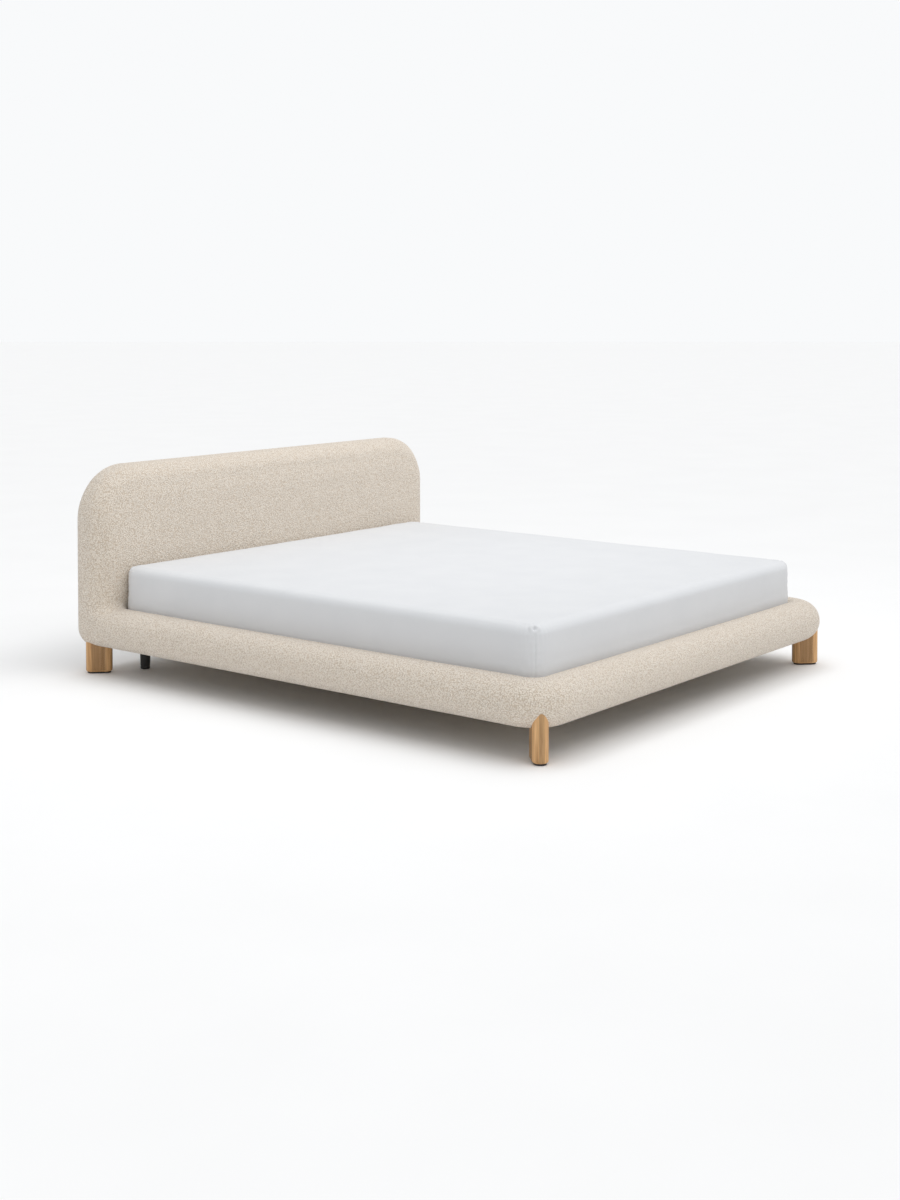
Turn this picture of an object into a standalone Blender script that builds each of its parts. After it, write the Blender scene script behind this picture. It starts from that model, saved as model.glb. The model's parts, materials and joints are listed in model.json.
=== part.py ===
"""Upholstered headboard bed for a 180 x 200 cm mattress.

Metres, +Z up.  +Y points from the foot to the headboard and +X to the right as seen
from the foot.  The origin is on the floor, under the centre of the bed.
Pieces that touch keep a 0.3 mm gap.
"""

import math

import bmesh
import bpy
from mathutils import Vector

# ---------------------------------------------------------------- driving dimensions
HALF_WIDTH = 1.025            # over the upholstered side rails
HALF_LENGTH = 1.140           # foot rail's outside to headboard's back
HEIGHT = 0.820                # top of the headboard
GAP = 0.0003                  # between pieces that touch

RAIL_BOTTOM = 0.106
RAIL_TOP = 0.264
RAIL_THICK = 0.120
RAIL_CORNER = 0.165           # plan radius of the two foot corners
RAIL_INNER_ROUND = 0.030      # rounding towards the mattress
RAIL_END_Y = 0.960            # where a side rail butts against the headboard

BOARD_BOTTOM = 0.140
BOARD_TOP = 0.230
BOARD_THICK = 0.024
TIMBER_EASE = 0.0015          # bevel of the timber's edges
BOARD_FOOT_Y = -0.965
BOARD_HEAD_Y = 0.955
FOOT_BOARD_HALF = 0.850

HEAD_THICK = 0.152
HEAD_TOP_RADIUS = 0.215
HEAD_FRONT_ROUND = 0.070
HEAD_BACK_ROUND = 0.055
HEAD_LEAST_RADIUS = 0.006     # of the lower corners where the outline is most inset
HEAD_WING_END_Y = 1.046       # how far the rail-shaped wings run into the headboard
POCKET_MARGIN = 0.075         # padding round the headboard's inner frame
POCKET_DEPTH = 0.110          # from the back face forwards
POCKET_FLOOR = 0.185
POCKET_LOW_RADIUS = 0.001
FRAME_WIDTH = 0.045
PANEL_THICK = 0.006
BACK_COVER_THICK = 0.004

LEG_HALF_LENGTH = 0.052       # along the corner's diagonal
LEG_HALF_THICK = 0.027
LEG_FOOT_INSET = 0.123        # leg centre from the bed's square corner, along the diagonal
LEG_HEAD_INSET = 0.105
LEG_FOOT_TOP = 0.170
LEG_HEAD_TOP = 0.1847
LEG_CHAMFER = 0.004
GLIDE_HEIGHT = 0.005
GLIDE_INSET = 0.006
POCKET_CLEARANCE = 0.0005

SLAT_COUNT = 14
SLAT_WIDTH = 0.070
SLAT_THICK = 0.018
SLAT_EASE = 0.003             # rounding of the slats' edges
SLAT_TOP = 0.2027
SLAT_HALF_LENGTH = 0.898
SLAT_FIRST_Y = -0.930
SLAT_LAST_Y = 0.905
TAPE_X = 0.450
TAPE_WIDTH = 0.025
TAPE_THICK = 0.001

LEDGE_WIDTH = 0.030
LEDGE_HEIGHT = 0.0335
LEDGE_FOOT_Y = -0.875
BEAM_HALF_WIDTH = 0.030
BEAM_HEIGHT = 0.045
CROSS_BOARD_BOTTOM = 0.118
CROSS_BOARD_THICK = 0.022
STEEL_THICK = 0.004
HANGER_THICK = 0.006
HANGER_FOOT_Y = 0.860
HANGER_BOTTOM = 0.188
HANGER_TOP = 0.226
HANGER_EASE = 0.001           # bevel of the plates' edges
HANGER_END_ROOM = 0.002       # free length of the slot beyond the plate
BRACKET_FOLD = 0.062          # how far the diagonal part of a corner strap reaches along each side
BRACKET_ARM = 0.070           # straight part of a corner strap on each board
BRACKET_TURN = 45             # degrees between a strap's straight and diagonal parts
BRACKET_DROP = 0.002          # below the boards' lower edge
BEAM_BRACKET_REACH = 0.060

SUPPORT_TOP_RADIUS = 0.0225
SUPPORT_FOOT_RADIUS = 0.019
SUPPORT_EDGE = 0.002
SUPPORT_HEAD_X = 0.790
SUPPORT_BEAM_Y = (-0.680, 0.0, 0.680)

MATTRESS_HALF_WIDTH = 0.900
MATTRESS_LENGTH = 2.000
MATTRESS_TOP = 0.423
MATTRESS_BOTTOM = 0.203
MATTRESS_CORNER = 0.050       # plan radius
MATTRESS_EDGE = 0.030         # rounding of the top and bottom edges
SHEET_THICK = 0.0020
SHEET_CLEARANCE = 0.0005
SHEET_HEM_LIFT = 0.004        # the sheet's lower edge above the start of the mattress's lower rounding

NOSE_STEPS = 14               # facets round the rail's outside
INNER_STEPS = 4               # facets of each rounding on the rail's mattress side
CORNER_STEPS = 6              # facets of half a foot corner in plan
OUTLINE_STEPS = 8             # facets of a quarter or half round in an outline
EDGE_STEPS = 5                # facets of an edge's quarter round
SUPPORT_SIDES = 24

# ---------------------------------------------------------------- derived dimensions
TRAY_HALF_WIDTH = HALF_WIDTH - RAIL_THICK
TRAY_FOOT_Y = -HALF_LENGTH + RAIL_THICK
HEAD_FRONT_Y = HALF_LENGTH - HEAD_THICK
INNER_CORNER = RAIL_CORNER - RAIL_THICK
CORNER_X = HALF_WIDTH - RAIL_CORNER
CORNER_Y = -HALF_LENGTH + RAIL_CORNER
RAIL_NOSE = (RAIL_TOP - RAIL_BOTTOM) / 2
RAIL_MID_Z = (RAIL_TOP + RAIL_BOTTOM) / 2
POCKET_FRONT_Y = HALF_LENGTH - POCKET_DEPTH
POCKET_HALF_WIDTH = HALF_WIDTH - POCKET_MARGIN
POCKET_TOP = HEIGHT - POCKET_MARGIN
POCKET_RADIUS = HEAD_TOP_RADIUS - POCKET_MARGIN
FRAME_FRONT_Y = POCKET_FRONT_Y + PANEL_THICK + 2 * GAP
FRAME_BACK_Y = HALF_LENGTH - BACK_COVER_THICK - 2.5 * GAP
FRAME_HALF_WIDTH = POCKET_HALF_WIDTH - GAP
FRAME_TOP = POCKET_TOP - GAP
FRAME_BOTTOM = POCKET_FLOOR + GAP
SLAT_BOTTOM = SLAT_TOP - SLAT_THICK
SUPPORT_PLANE = SLAT_BOTTOM - GAP      # top of everything the slats lie on
MATTRESS_FOOT_Y = -MATTRESS_LENGTH / 2 + (TRAY_FOOT_Y + HEAD_FRONT_Y) / 2
MATTRESS_MID_Y = MATTRESS_FOOT_Y + MATTRESS_LENGTH / 2
CUT_OVERRUN = 0.020                    # how far a cutter runs past an open face

# ---------------------------------------------------------------- materials
MATERIALS = {
    # name: colour, roughness, metallic
    "boucle": ((0.700, 0.625, 0.530), 0.95, 0.0),
    "oak": ((0.580, 0.370, 0.185), 0.55, 0.0),
    "pine": ((0.720, 0.560, 0.360), 0.70, 0.0),
    "plywood": ((0.660, 0.500, 0.320), 0.75, 0.0),
    "birch": ((0.740, 0.600, 0.420), 0.60, 0.0),
    "black_plastic": ((0.018, 0.018, 0.020), 0.50, 0.0),
    "zinc_steel": ((0.560, 0.560, 0.540), 0.35, 1.0),
    "webbing": ((0.120, 0.115, 0.110), 0.90, 0.0),
    "lining": ((0.060, 0.058, 0.056), 0.95, 0.0),
    "ticking": ((0.780, 0.770, 0.750), 0.90, 0.0),
    "white_cotton": ((0.830, 0.845, 0.870), 0.85, 0.0),
}


def clear_scene():
    for item in list(bpy.data.objects):
        bpy.data.objects.remove(item, do_unlink=True)


def make_materials():
    for name, (colour, roughness, metallic) in MATERIALS.items():
        material = bpy.data.materials.get(name) or bpy.data.materials.new(name)
        material.use_nodes = True
        shader = material.node_tree.nodes["Principled BSDF"]
        shader.inputs["Base Color"].default_value = (*colour, 1.0)
        shader.inputs["Roughness"].default_value = roughness
        shader.inputs["Metallic"].default_value = metallic
        material.diffuse_color = (*colour, 1.0)


# ---------------------------------------------------------------- mesh helpers
def add_object(name, mesh_builder, material, sharp_angle=math.radians(35)):
    """Turn a filled bmesh into a named object with outward faces."""
    bmesh.ops.recalc_face_normals(mesh_builder, faces=mesh_builder.faces[:])
    mesh = bpy.data.meshes.new(name)
    mesh_builder.to_mesh(mesh)
    mesh_builder.free()
    mesh.shade_smooth()
    mesh.set_sharp_from_angle(angle=sharp_angle)
    item = bpy.data.objects.new(name, mesh)
    bpy.context.scene.collection.objects.link(item)
    if material:
        mesh.materials.append(bpy.data.materials[material])
    return item


def skin(name, loops, material=None):
    """Closed solid through loops of equal length, each a list of (x, y, z), with end caps."""
    builder = bmesh.new()
    rows = [[builder.verts.new(point) for point in loop] for loop in loops]
    count = len(rows[0])
    for row, following in zip(rows, rows[1:]):
        for index in range(count):
            after = (index + 1) % count
            builder.faces.new((row[index], row[after], following[after], following[index]))
    builder.faces.new(rows[0])
    builder.faces.new(rows[-1])
    return add_object(name, builder, material)


def box(name, low, high, material=None, bevel=0.0, segments=1):
    """Box between two corners, with an optional bevel of all its edges."""
    builder = bmesh.new()
    bmesh.ops.create_cube(builder, size=1.0)
    middle = (Vector(low) + Vector(high)) / 2
    for vertex in builder.verts:
        for axis in range(3):
            vertex.co[axis] *= high[axis] - low[axis]
        vertex.co += middle
    if bevel:
        bmesh.ops.bevel(
            builder, geom=builder.edges[:], offset=bevel, segments=segments, profile=0.5, affect="EDGES"
        )
    return add_object(name, builder, material)


def arc(centre, radius, start_degrees, end_degrees, steps):
    """Points on an arc, both ends included."""
    points = []
    for index in range(steps + 1):
        angle = math.radians(start_degrees + (end_degrees - start_degrees) * index / steps)
        points.append((centre[0] + radius * math.cos(angle), centre[1] + radius * math.sin(angle)))
    return points


def rounded_rectangle(low, high, low_radius, high_radius, steps):
    """Anticlockwise outline, with one radius for the two low corners and one for the high."""
    outline = []
    corners = (
        (high[0] - low_radius, low[1] + low_radius, low_radius, 270),
        (high[0] - high_radius, high[1] - high_radius, high_radius, 0),
        (low[0] + high_radius, high[1] - high_radius, high_radius, 90),
        (low[0] + low_radius, low[1] + low_radius, low_radius, 180),
    )
    for centre_x, centre_y, radius, start in corners:
        outline += arc((centre_x, centre_y), radius, start, start + 90, steps)
    return outline


def cut(item, cutters, operation="DIFFERENCE"):
    """Apply a Boolean to an object with each cutter, which stays in the scene as a guide."""
    for cutter in cutters:
        cutter.hide_render = True
        cutter.display_type = "WIRE"
        modifier = item.modifiers.new(cutter.name, "BOOLEAN")
        modifier.operation = operation
        modifier.solver = "EXACT"
        modifier.object = cutter


def mirrored_box(name, side, near, far, low_y, high_y, low_z, high_z, material=None, bevel=0.0):
    """Box whose x runs from near to far, measured outwards from the bed's middle on one side."""
    low_x, high_x = sorted((side * near, side * far))
    return box(name, (low_x, low_y, low_z), (high_x, high_y, high_z), material, bevel)


# ---------------------------------------------------------------- rails
def rail_section():
    """Rail's cross-section as (distance out from the mattress side, z), bullnosed outside."""
    nose_centre = RAIL_THICK - RAIL_NOSE
    inner = RAIL_INNER_ROUND
    section = arc((nose_centre, RAIL_MID_Z), RAIL_NOSE, -90, 90, NOSE_STEPS)
    section += arc((inner, RAIL_TOP - inner), inner, 90, 180, INNER_STEPS)
    section += arc((inner, RAIL_BOTTOM + inner), inner, 180, 270, INNER_STEPS)
    return section


def rail_loop(pivot, heading_degrees, section, shift=(0.0, 0.0)):
    """Section placed on a ray from the corner pivot, pointing outwards from the bed."""
    direction = (math.cos(math.radians(heading_degrees)), math.sin(math.radians(heading_degrees)))
    loop = []
    for distance, height in section:
        reach = INNER_CORNER + distance
        x = pivot[0] + direction[0] * reach + shift[0]
        y = pivot[1] + direction[1] * reach + shift[1]
        loop.append((x, y, height))
    return loop


def corner_headings(start, end):
    step = (end - start) / CORNER_STEPS
    return [start + step * index for index in range(CORNER_STEPS + 1)]


def side_rail_bolster(side, suffix):
    """Padded side rail from the headboard to the mitre in the middle of the foot corner."""
    section = rail_section()
    straight = 0 if side > 0 else 180
    mitre = -45 if side > 0 else 225
    pivot_x = side * CORNER_X
    slip = GAP / 2 * math.sqrt(0.5)
    loops = [rail_loop((pivot_x, RAIL_END_Y - GAP), straight, section)]
    headings = corner_headings(straight, mitre)
    loops += [rail_loop((pivot_x, CORNER_Y), heading, section) for heading in headings[:-1]]
    loops.append(rail_loop((pivot_x, CORNER_Y), mitre, section, (side * slip, slip)))
    bolster = skin(f"side_rail_bolster_{suffix}", loops, "boucle")
    board_slot = mirrored_box(
        f"cut_side_board_{suffix}", side,
        TRAY_HALF_WIDTH - CUT_OVERRUN, TRAY_HALF_WIDTH + BOARD_THICK + GAP,
        BOARD_FOOT_Y - GAP, BOARD_HEAD_Y + GAP, BOARD_BOTTOM - GAP, BOARD_TOP + GAP,
    )
    cut(bolster, [board_slot, hanger_slot(side, suffix), leg_cutter(side, -1, suffix, "side")])


def foot_rail_bolster():
    """Padded foot rail between the two corner mitres."""
    section = rail_section()
    slip = GAP / 2 * math.sqrt(0.5)
    loops = [rail_loop((-CORNER_X, CORNER_Y), 225, section, (slip, -slip))]
    loops += [rail_loop((-CORNER_X, CORNER_Y), h, section) for h in corner_headings(225, 270)[1:]]
    loops += [rail_loop((CORNER_X, CORNER_Y), h, section) for h in corner_headings(270, 315)[:-1]]
    loops.append(rail_loop((CORNER_X, CORNER_Y), 315, section, (-slip, -slip)))
    bolster = skin("foot_rail_bolster", loops, "boucle")
    board_slot = box(
        "cut_foot_board",
        (-FOOT_BOARD_HALF - GAP, TRAY_FOOT_Y - BOARD_THICK - GAP, BOARD_BOTTOM - GAP),
        (FOOT_BOARD_HALF + GAP, TRAY_FOOT_Y + CUT_OVERRUN, BOARD_TOP + GAP),
    )
    cut(bolster, [board_slot, leg_cutter(-1, -1, "left", "foot"), leg_cutter(1, -1, "right", "foot")])


def rail_boards():
    """Timber boards let into the mattress side of the padded rails."""
    for side, suffix in ((-1, "left"), (1, "right")):
        mirrored_box(
            f"side_rail_board_{suffix}", side, TRAY_HALF_WIDTH, TRAY_HALF_WIDTH + BOARD_THICK,
            BOARD_FOOT_Y, BOARD_HEAD_Y, BOARD_BOTTOM, BOARD_TOP, "pine", TIMBER_EASE,
        )
    box(
        "foot_rail_board",
        (-FOOT_BOARD_HALF, TRAY_FOOT_Y - BOARD_THICK, BOARD_BOTTOM),
        (FOOT_BOARD_HALF, TRAY_FOOT_Y, BOARD_TOP), "pine", TIMBER_EASE,
    )
    box(
        "head_cross_board",
        (-TRAY_HALF_WIDTH + GAP, HEAD_FRONT_Y - CROSS_BOARD_THICK - 2 * GAP, CROSS_BOARD_BOTTOM),
        (TRAY_HALF_WIDTH - GAP, HEAD_FRONT_Y - 2 * GAP, SUPPORT_PLANE), "pine", TIMBER_EASE,
    )


# ---------------------------------------------------------------- headboard
def head_outline(inset):
    return rounded_rectangle(
        (-HALF_WIDTH + inset, RAIL_BOTTOM + inset), (HALF_WIDTH - inset, HEIGHT - inset),
        max(RAIL_NOSE - inset, HEAD_LEAST_RADIUS), HEAD_TOP_RADIUS - inset, OUTLINE_STEPS,
    )


def pocket_outline(shrink):
    return rounded_rectangle(
        (-POCKET_HALF_WIDTH + shrink, POCKET_FLOOR + shrink),
        (POCKET_HALF_WIDTH - shrink, POCKET_TOP - shrink), POCKET_LOW_RADIUS, POCKET_RADIUS - shrink,
        OUTLINE_STEPS,
    )


def upright(outline, y):
    return [(x, y, z) for x, z in outline]


def headboard_upholstery():
    """Padded shell, rounded all round, hollow at the back for the timber frame."""
    loops = []
    for index in range(EDGE_STEPS + 1):
        angle = math.pi / 2 * index / EDGE_STEPS
        inset = HEAD_BACK_ROUND * (1 - math.sin(angle))
        y = HALF_LENGTH - HEAD_BACK_ROUND * (1 - math.cos(angle))
        loops.append(upright(head_outline(inset), y))
    for index in range(EDGE_STEPS + 1):
        angle = math.pi / 2 * index / EDGE_STEPS
        inset = HEAD_FRONT_ROUND * (1 - math.cos(angle))
        y = HEAD_FRONT_Y + HEAD_FRONT_ROUND * (1 - math.sin(angle))
        loops.append(upright(head_outline(inset), y))
    shell = skin("headboard_upholstery", loops, "boucle")
    wings = [headboard_wing(-1, "left"), headboard_wing(1, "right")]
    cut(shell, wings, "UNION")
    pocket_ends = (POCKET_FRONT_Y, HALF_LENGTH + CUT_OVERRUN)
    cut(shell, [skin("cut_pocket", [upright(pocket_outline(0.0), y) for y in pocket_ends])])
    cutters = [leg_cutter(side, 1, suffix, "head") for side, suffix in ((-1, "left"), (1, "right"))]
    cutters += [hanger_slot(side, f"head_{suffix}") for side, suffix in ((-1, "left"), (1, "right"))]
    cut(shell, cutters)


def headboard_wing(side, suffix):
    """Short stretch of rail section that grows out of the headboard's lower corner."""
    section = rail_section()
    heading = 0 if side > 0 else 180
    pivot_x = side * CORNER_X
    ends = (RAIL_END_Y, HEAD_WING_END_Y)
    return skin(f"union_wing_{suffix}", [rail_loop((pivot_x, y), heading, section) for y in ends])


def headboard_frame():
    """Box frame of posts, rails and curved corner blocks inside the headboard's hollow."""
    post_inner = FRAME_HALF_WIDTH - FRAME_WIDTH
    arc_z = POCKET_TOP - POCKET_RADIUS
    arc_x = POCKET_HALF_WIDTH - POCKET_RADIUS
    for side, suffix in ((-1, "left"), (1, "right")):
        mirrored_box(
            f"headboard_post_{suffix}", side, post_inner, FRAME_HALF_WIDTH,
            FRAME_FRONT_Y, FRAME_BACK_Y, FRAME_BOTTOM, arc_z - GAP, "pine", TIMBER_EASE,
        )
        outer = arc((arc_x, arc_z), POCKET_RADIUS - GAP, 0, 90, OUTLINE_STEPS)
        inner = arc((arc_x, arc_z), POCKET_RADIUS - GAP - FRAME_WIDTH, 90, 0, OUTLINE_STEPS)
        profile = [(side * x, z) for x, z in outer + inner]
        skin(
            f"headboard_corner_block_{suffix}",
            [upright(profile, FRAME_FRONT_Y), upright(profile, FRAME_BACK_Y)], "plywood",
        )
    box(
        "headboard_top_rail", (-arc_x + GAP, FRAME_FRONT_Y, FRAME_TOP - FRAME_WIDTH),
        (arc_x - GAP, FRAME_BACK_Y, FRAME_TOP), "pine", TIMBER_EASE,
    )
    cross_half = post_inner - GAP
    box(
        "headboard_cross_rail", (-cross_half, FRAME_FRONT_Y, FRAME_BOTTOM),
        (cross_half, FRAME_BACK_Y, FRAME_BOTTOM + 2 * FRAME_WIDTH), "pine", TIMBER_EASE,
    )
    box(
        "headboard_middle_stud",
        (-FRAME_WIDTH / 2, FRAME_FRONT_Y, FRAME_BOTTOM + 2 * FRAME_WIDTH + GAP),
        (FRAME_WIDTH / 2, FRAME_BACK_Y, FRAME_TOP - FRAME_WIDTH - GAP), "pine", TIMBER_EASE,
    )
    panel = pocket_outline(GAP)
    front = POCKET_FRONT_Y + GAP
    skin("headboard_front_panel", [upright(panel, front), upright(panel, front + PANEL_THICK)], "plywood")
    back = HALF_LENGTH - 1.5 * GAP
    skin("headboard_back_cover", [upright(panel, back - BACK_COVER_THICK), upright(panel, back)], "lining")


# ---------------------------------------------------------------- legs
def stadium(centre, axis_degrees, half_length, half_thick):
    """Long round-ended outline in plan, lying along one direction."""
    reach = half_length - half_thick
    direction = (math.cos(math.radians(axis_degrees)), math.sin(math.radians(axis_degrees)))
    outline = []
    for sign, turn in ((1, -90), (-1, 90)):
        end = (centre[0] + sign * reach * direction[0], centre[1] + sign * reach * direction[1])
        outline += arc(end, half_thick, axis_degrees + turn, axis_degrees + turn + 180, OUTLINE_STEPS)
    return outline


def leg_place(side, end):
    """Plan centre and direction of a corner leg; end is -1 at the foot and 1 at the head."""
    inset = LEG_FOOT_INSET if end < 0 else LEG_HEAD_INSET
    step = inset * math.sqrt(0.5)
    centre = (side * (HALF_WIDTH - step), end * (HALF_LENGTH - step))
    return centre, (45 if side * end > 0 else 135)


def leg_loop(side, end, grow, z):
    centre, heading = leg_place(side, end)
    outline = stadium(centre, heading, LEG_HALF_LENGTH + grow, LEG_HALF_THICK + grow)
    return [(x, y, z) for x, y in outline]


def leg_cutter(side, end, suffix, owner):
    """Pocket for the top of a corner leg, open downwards."""
    top = LEG_FOOT_TOP if end < 0 else LEG_HEAD_TOP
    heights = (RAIL_BOTTOM - CUT_OVERRUN, top + POCKET_CLEARANCE)
    loops = [leg_loop(side, end, POCKET_CLEARANCE, z) for z in heights]
    return skin(f"cut_leg_{owner}_{suffix}", loops)


def corner_legs():
    """Four oak legs, each a round-ended slab on the corner's diagonal, on a thin glide."""
    for side, suffix in ((-1, "left"), (1, "right")):
        for end, name in ((-1, "foot"), (1, "head")):
            top = LEG_FOOT_TOP if end < 0 else LEG_HEAD_TOP
            base = GLIDE_HEIGHT + GAP
            loops = [
                leg_loop(side, end, -LEG_CHAMFER, base),
                leg_loop(side, end, 0.0, base + LEG_CHAMFER),
                leg_loop(side, end, 0.0, top - LEG_CHAMFER),
                leg_loop(side, end, -LEG_CHAMFER, top),
            ]
            skin(f"{name}_leg_{suffix}", loops, "oak")
            pad = [leg_loop(side, end, -GLIDE_INSET, z) for z in (0.0, GLIDE_HEIGHT)]
            skin(f"{name}_leg_glide_{suffix}", pad, "black_plastic")


def support_leg(name, x, y, top):
    """Turned black leg, slimmer at the floor."""
    profile = (
        (0.0, SUPPORT_FOOT_RADIUS - SUPPORT_EDGE),
        (SUPPORT_EDGE, SUPPORT_FOOT_RADIUS),
        (top - SUPPORT_EDGE, SUPPORT_TOP_RADIUS),
        (top, SUPPORT_TOP_RADIUS - SUPPORT_EDGE),
    )
    last = 360 - 360 / SUPPORT_SIDES
    loops = []
    for z, radius in profile:
        circle = arc((x, y), radius, 0, last, SUPPORT_SIDES - 1)
        loops.append([(px, py, z) for px, py in circle])
    skin(name, loops, "black_plastic")


def support_legs():
    board_middle = HEAD_FRONT_Y - CROSS_BOARD_THICK / 2 - 2 * GAP
    for side, suffix in ((-1, "left"), (1, "right")):
        support_leg(
            f"head_support_leg_{suffix}", side * SUPPORT_HEAD_X, board_middle, CROSS_BOARD_BOTTOM - GAP
        )
    for index, y in enumerate(SUPPORT_BEAM_Y, start=1):
        support_leg(f"beam_support_leg_{index}", 0.0, y, SUPPORT_PLANE - BEAM_HEIGHT - GAP)


# ---------------------------------------------------------------- steel joints
def hanger_span():
    """Distances out from the bed's middle between which a side rail's hanger plate lies."""
    near = TRAY_HALF_WIDTH + BOARD_THICK + 2 * GAP
    return near, near + HANGER_THICK


def hanger_slot(side, suffix):
    near, far = hanger_span()
    return mirrored_box(
        f"cut_hanger_{suffix}", side, near - 2 * GAP, far + GAP,
        HANGER_FOOT_Y - GAP, POCKET_FRONT_Y + HANGER_END_ROOM, HANGER_BOTTOM - GAP, HANGER_TOP + GAP,
    )


def hanger_plates():
    """Steel plates that carry each side rail's board into the headboard."""
    near, far = hanger_span()
    for side, suffix in ((-1, "left"), (1, "right")):
        mirrored_box(
            f"rail_hanger_{suffix}", side, near, far, HANGER_FOOT_Y, POCKET_FRONT_Y - GAP,
            HANGER_BOTTOM, HANGER_TOP, "zinc_steel", HANGER_EASE,
        )


def corner_brackets():
    """Folded steel straps that tie side and foot boards together across the foot corners."""
    face_x = TRAY_HALF_WIDTH - GAP
    face_y = TRAY_FOOT_Y + GAP
    fold = BRACKET_FOLD
    arm = BRACKET_ARM
    half_turn = STEEL_THICK * math.tan(math.radians(BRACKET_TURN / 2))
    outside = [
        (face_x, face_y + fold + arm), (face_x, face_y + fold),
        (face_x - fold, face_y), (face_x - fold - arm, face_y),
    ]
    inside = [
        (face_x - fold - arm, face_y + STEEL_THICK),
        (face_x - fold + half_turn, face_y + STEEL_THICK),
        (face_x - STEEL_THICK, face_y + fold - half_turn),
        (face_x - STEEL_THICK, face_y + fold + arm),
    ]
    for side, suffix in ((-1, "left"), (1, "right")):
        outline = [(side * x, y) for x, y in outside + inside]
        loops = [[(x, y, z) for x, y in outline] for z in (BOARD_BOTTOM - BRACKET_DROP, SUPPORT_PLANE)]
        skin(f"foot_corner_bracket_{suffix}", loops, "zinc_steel")


def beam_brackets():
    """Angle brackets that carry the ends of the centre beam."""
    shelf_top = SUPPORT_PLANE - BEAM_HEIGHT - GAP
    reach = BEAM_BRACKET_REACH
    foot_face = TRAY_FOOT_Y + GAP
    head_face = HEAD_FRONT_Y - CROSS_BOARD_THICK - 3 * GAP
    for name, face, inward in (("foot", foot_face, 1), ("head", head_face, -1)):
        profile = [
            (face, SUPPORT_PLANE),
            (face, shelf_top - STEEL_THICK),
            (face + inward * reach, shelf_top - STEEL_THICK),
            (face + inward * reach, shelf_top),
            (face + inward * STEEL_THICK, shelf_top),
            (face + inward * STEEL_THICK, SUPPORT_PLANE),
        ]
        loops = [[(x, y, z) for y, z in profile] for x in (-BEAM_HALF_WIDTH, BEAM_HALF_WIDTH)]
        skin(f"beam_bracket_{name}", loops, "zinc_steel")


# ---------------------------------------------------------------- slatted base
def ledges_and_beam():
    """Ledges along the side boards and the beam down the middle, which carry the slats."""
    for side, suffix in ((-1, "left"), (1, "right")):
        mirrored_box(
            f"slat_ledge_{suffix}", side, TRAY_HALF_WIDTH - GAP - LEDGE_WIDTH, TRAY_HALF_WIDTH - GAP,
            LEDGE_FOOT_Y, BOARD_HEAD_Y, SUPPORT_PLANE - LEDGE_HEIGHT, SUPPORT_PLANE, "pine", TIMBER_EASE,
        )
    foot_end = TRAY_FOOT_Y + STEEL_THICK + 2 * GAP
    head_end = HEAD_FRONT_Y - CROSS_BOARD_THICK - STEEL_THICK - 4 * GAP
    box(
        "centre_beam", (-BEAM_HALF_WIDTH, foot_end, SUPPORT_PLANE - BEAM_HEIGHT),
        (BEAM_HALF_WIDTH, head_end, SUPPORT_PLANE), "pine", TIMBER_EASE,
    )


def slats():
    """Evenly spaced slats, joined into a roll by two tapes stapled underneath."""
    pitch = (SLAT_LAST_Y - SLAT_FIRST_Y) / (SLAT_COUNT - 1)
    for index in range(SLAT_COUNT):
        y = SLAT_FIRST_Y + pitch * index
        box(
            f"slat_{index + 1:02d}", (-SLAT_HALF_LENGTH, y - SLAT_WIDTH / 2, SLAT_BOTTOM),
            (SLAT_HALF_LENGTH, y + SLAT_WIDTH / 2, SLAT_TOP), "birch", SLAT_EASE, 2,
        )
    for side, suffix in ((-1, "left"), (1, "right")):
        mirrored_box(
            f"slat_tape_{suffix}", side, TAPE_X - TAPE_WIDTH / 2, TAPE_X + TAPE_WIDTH / 2,
            SLAT_FIRST_Y - SLAT_WIDTH / 2, SLAT_LAST_Y + SLAT_WIDTH / 2,
            SUPPORT_PLANE - TAPE_THICK, SUPPORT_PLANE, "webbing",
        )


# ---------------------------------------------------------------- mattress and sheet
def mattress_loop(inset, z):
    half_length = MATTRESS_LENGTH / 2 - inset
    half_width = MATTRESS_HALF_WIDTH - inset
    radius = MATTRESS_CORNER - inset
    outline = rounded_rectangle(
        (-half_width, MATTRESS_MID_Y - half_length), (half_width, MATTRESS_MID_Y + half_length),
        radius, radius, EDGE_STEPS,
    )
    return [(x, y, z) for x, y in outline]


def edge_round(base_inset, top, radius):
    """(inset, z) pairs of a quarter round from the vertical side up to the flat top."""
    pairs = []
    for index in range(EDGE_STEPS + 1):
        angle = math.pi / 2 * index / EDGE_STEPS
        inset = base_inset + radius * (1 - math.cos(angle))
        pairs.append((inset, top - radius * (1 - math.sin(angle))))
    return pairs


def mattress():
    """Foam and spring block, rounded along its top and bottom edges."""
    inset = SHEET_THICK + SHEET_CLEARANCE
    upper = edge_round(inset, MATTRESS_TOP - inset, MATTRESS_EDGE)
    lower = [(i, MATTRESS_BOTTOM + MATTRESS_TOP - inset - z) for i, z in reversed(upper)]
    skin("mattress", [mattress_loop(i, z) for i, z in lower + upper], "ticking")


def fitted_sheet():
    """Stretched cover over the mattress's top and sides, open below."""
    hem = MATTRESS_BOTTOM + SHEET_HEM_LIFT + MATTRESS_EDGE
    inner = edge_round(SHEET_THICK, MATTRESS_TOP - SHEET_THICK, MATTRESS_EDGE)
    outer = edge_round(0.0, MATTRESS_TOP, MATTRESS_EDGE)
    path = list(reversed(inner)) + [(SHEET_THICK, hem), (0.0, hem)] + outer
    skin("fitted_sheet", [mattress_loop(i, z) for i, z in path], "white_cotton")


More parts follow.
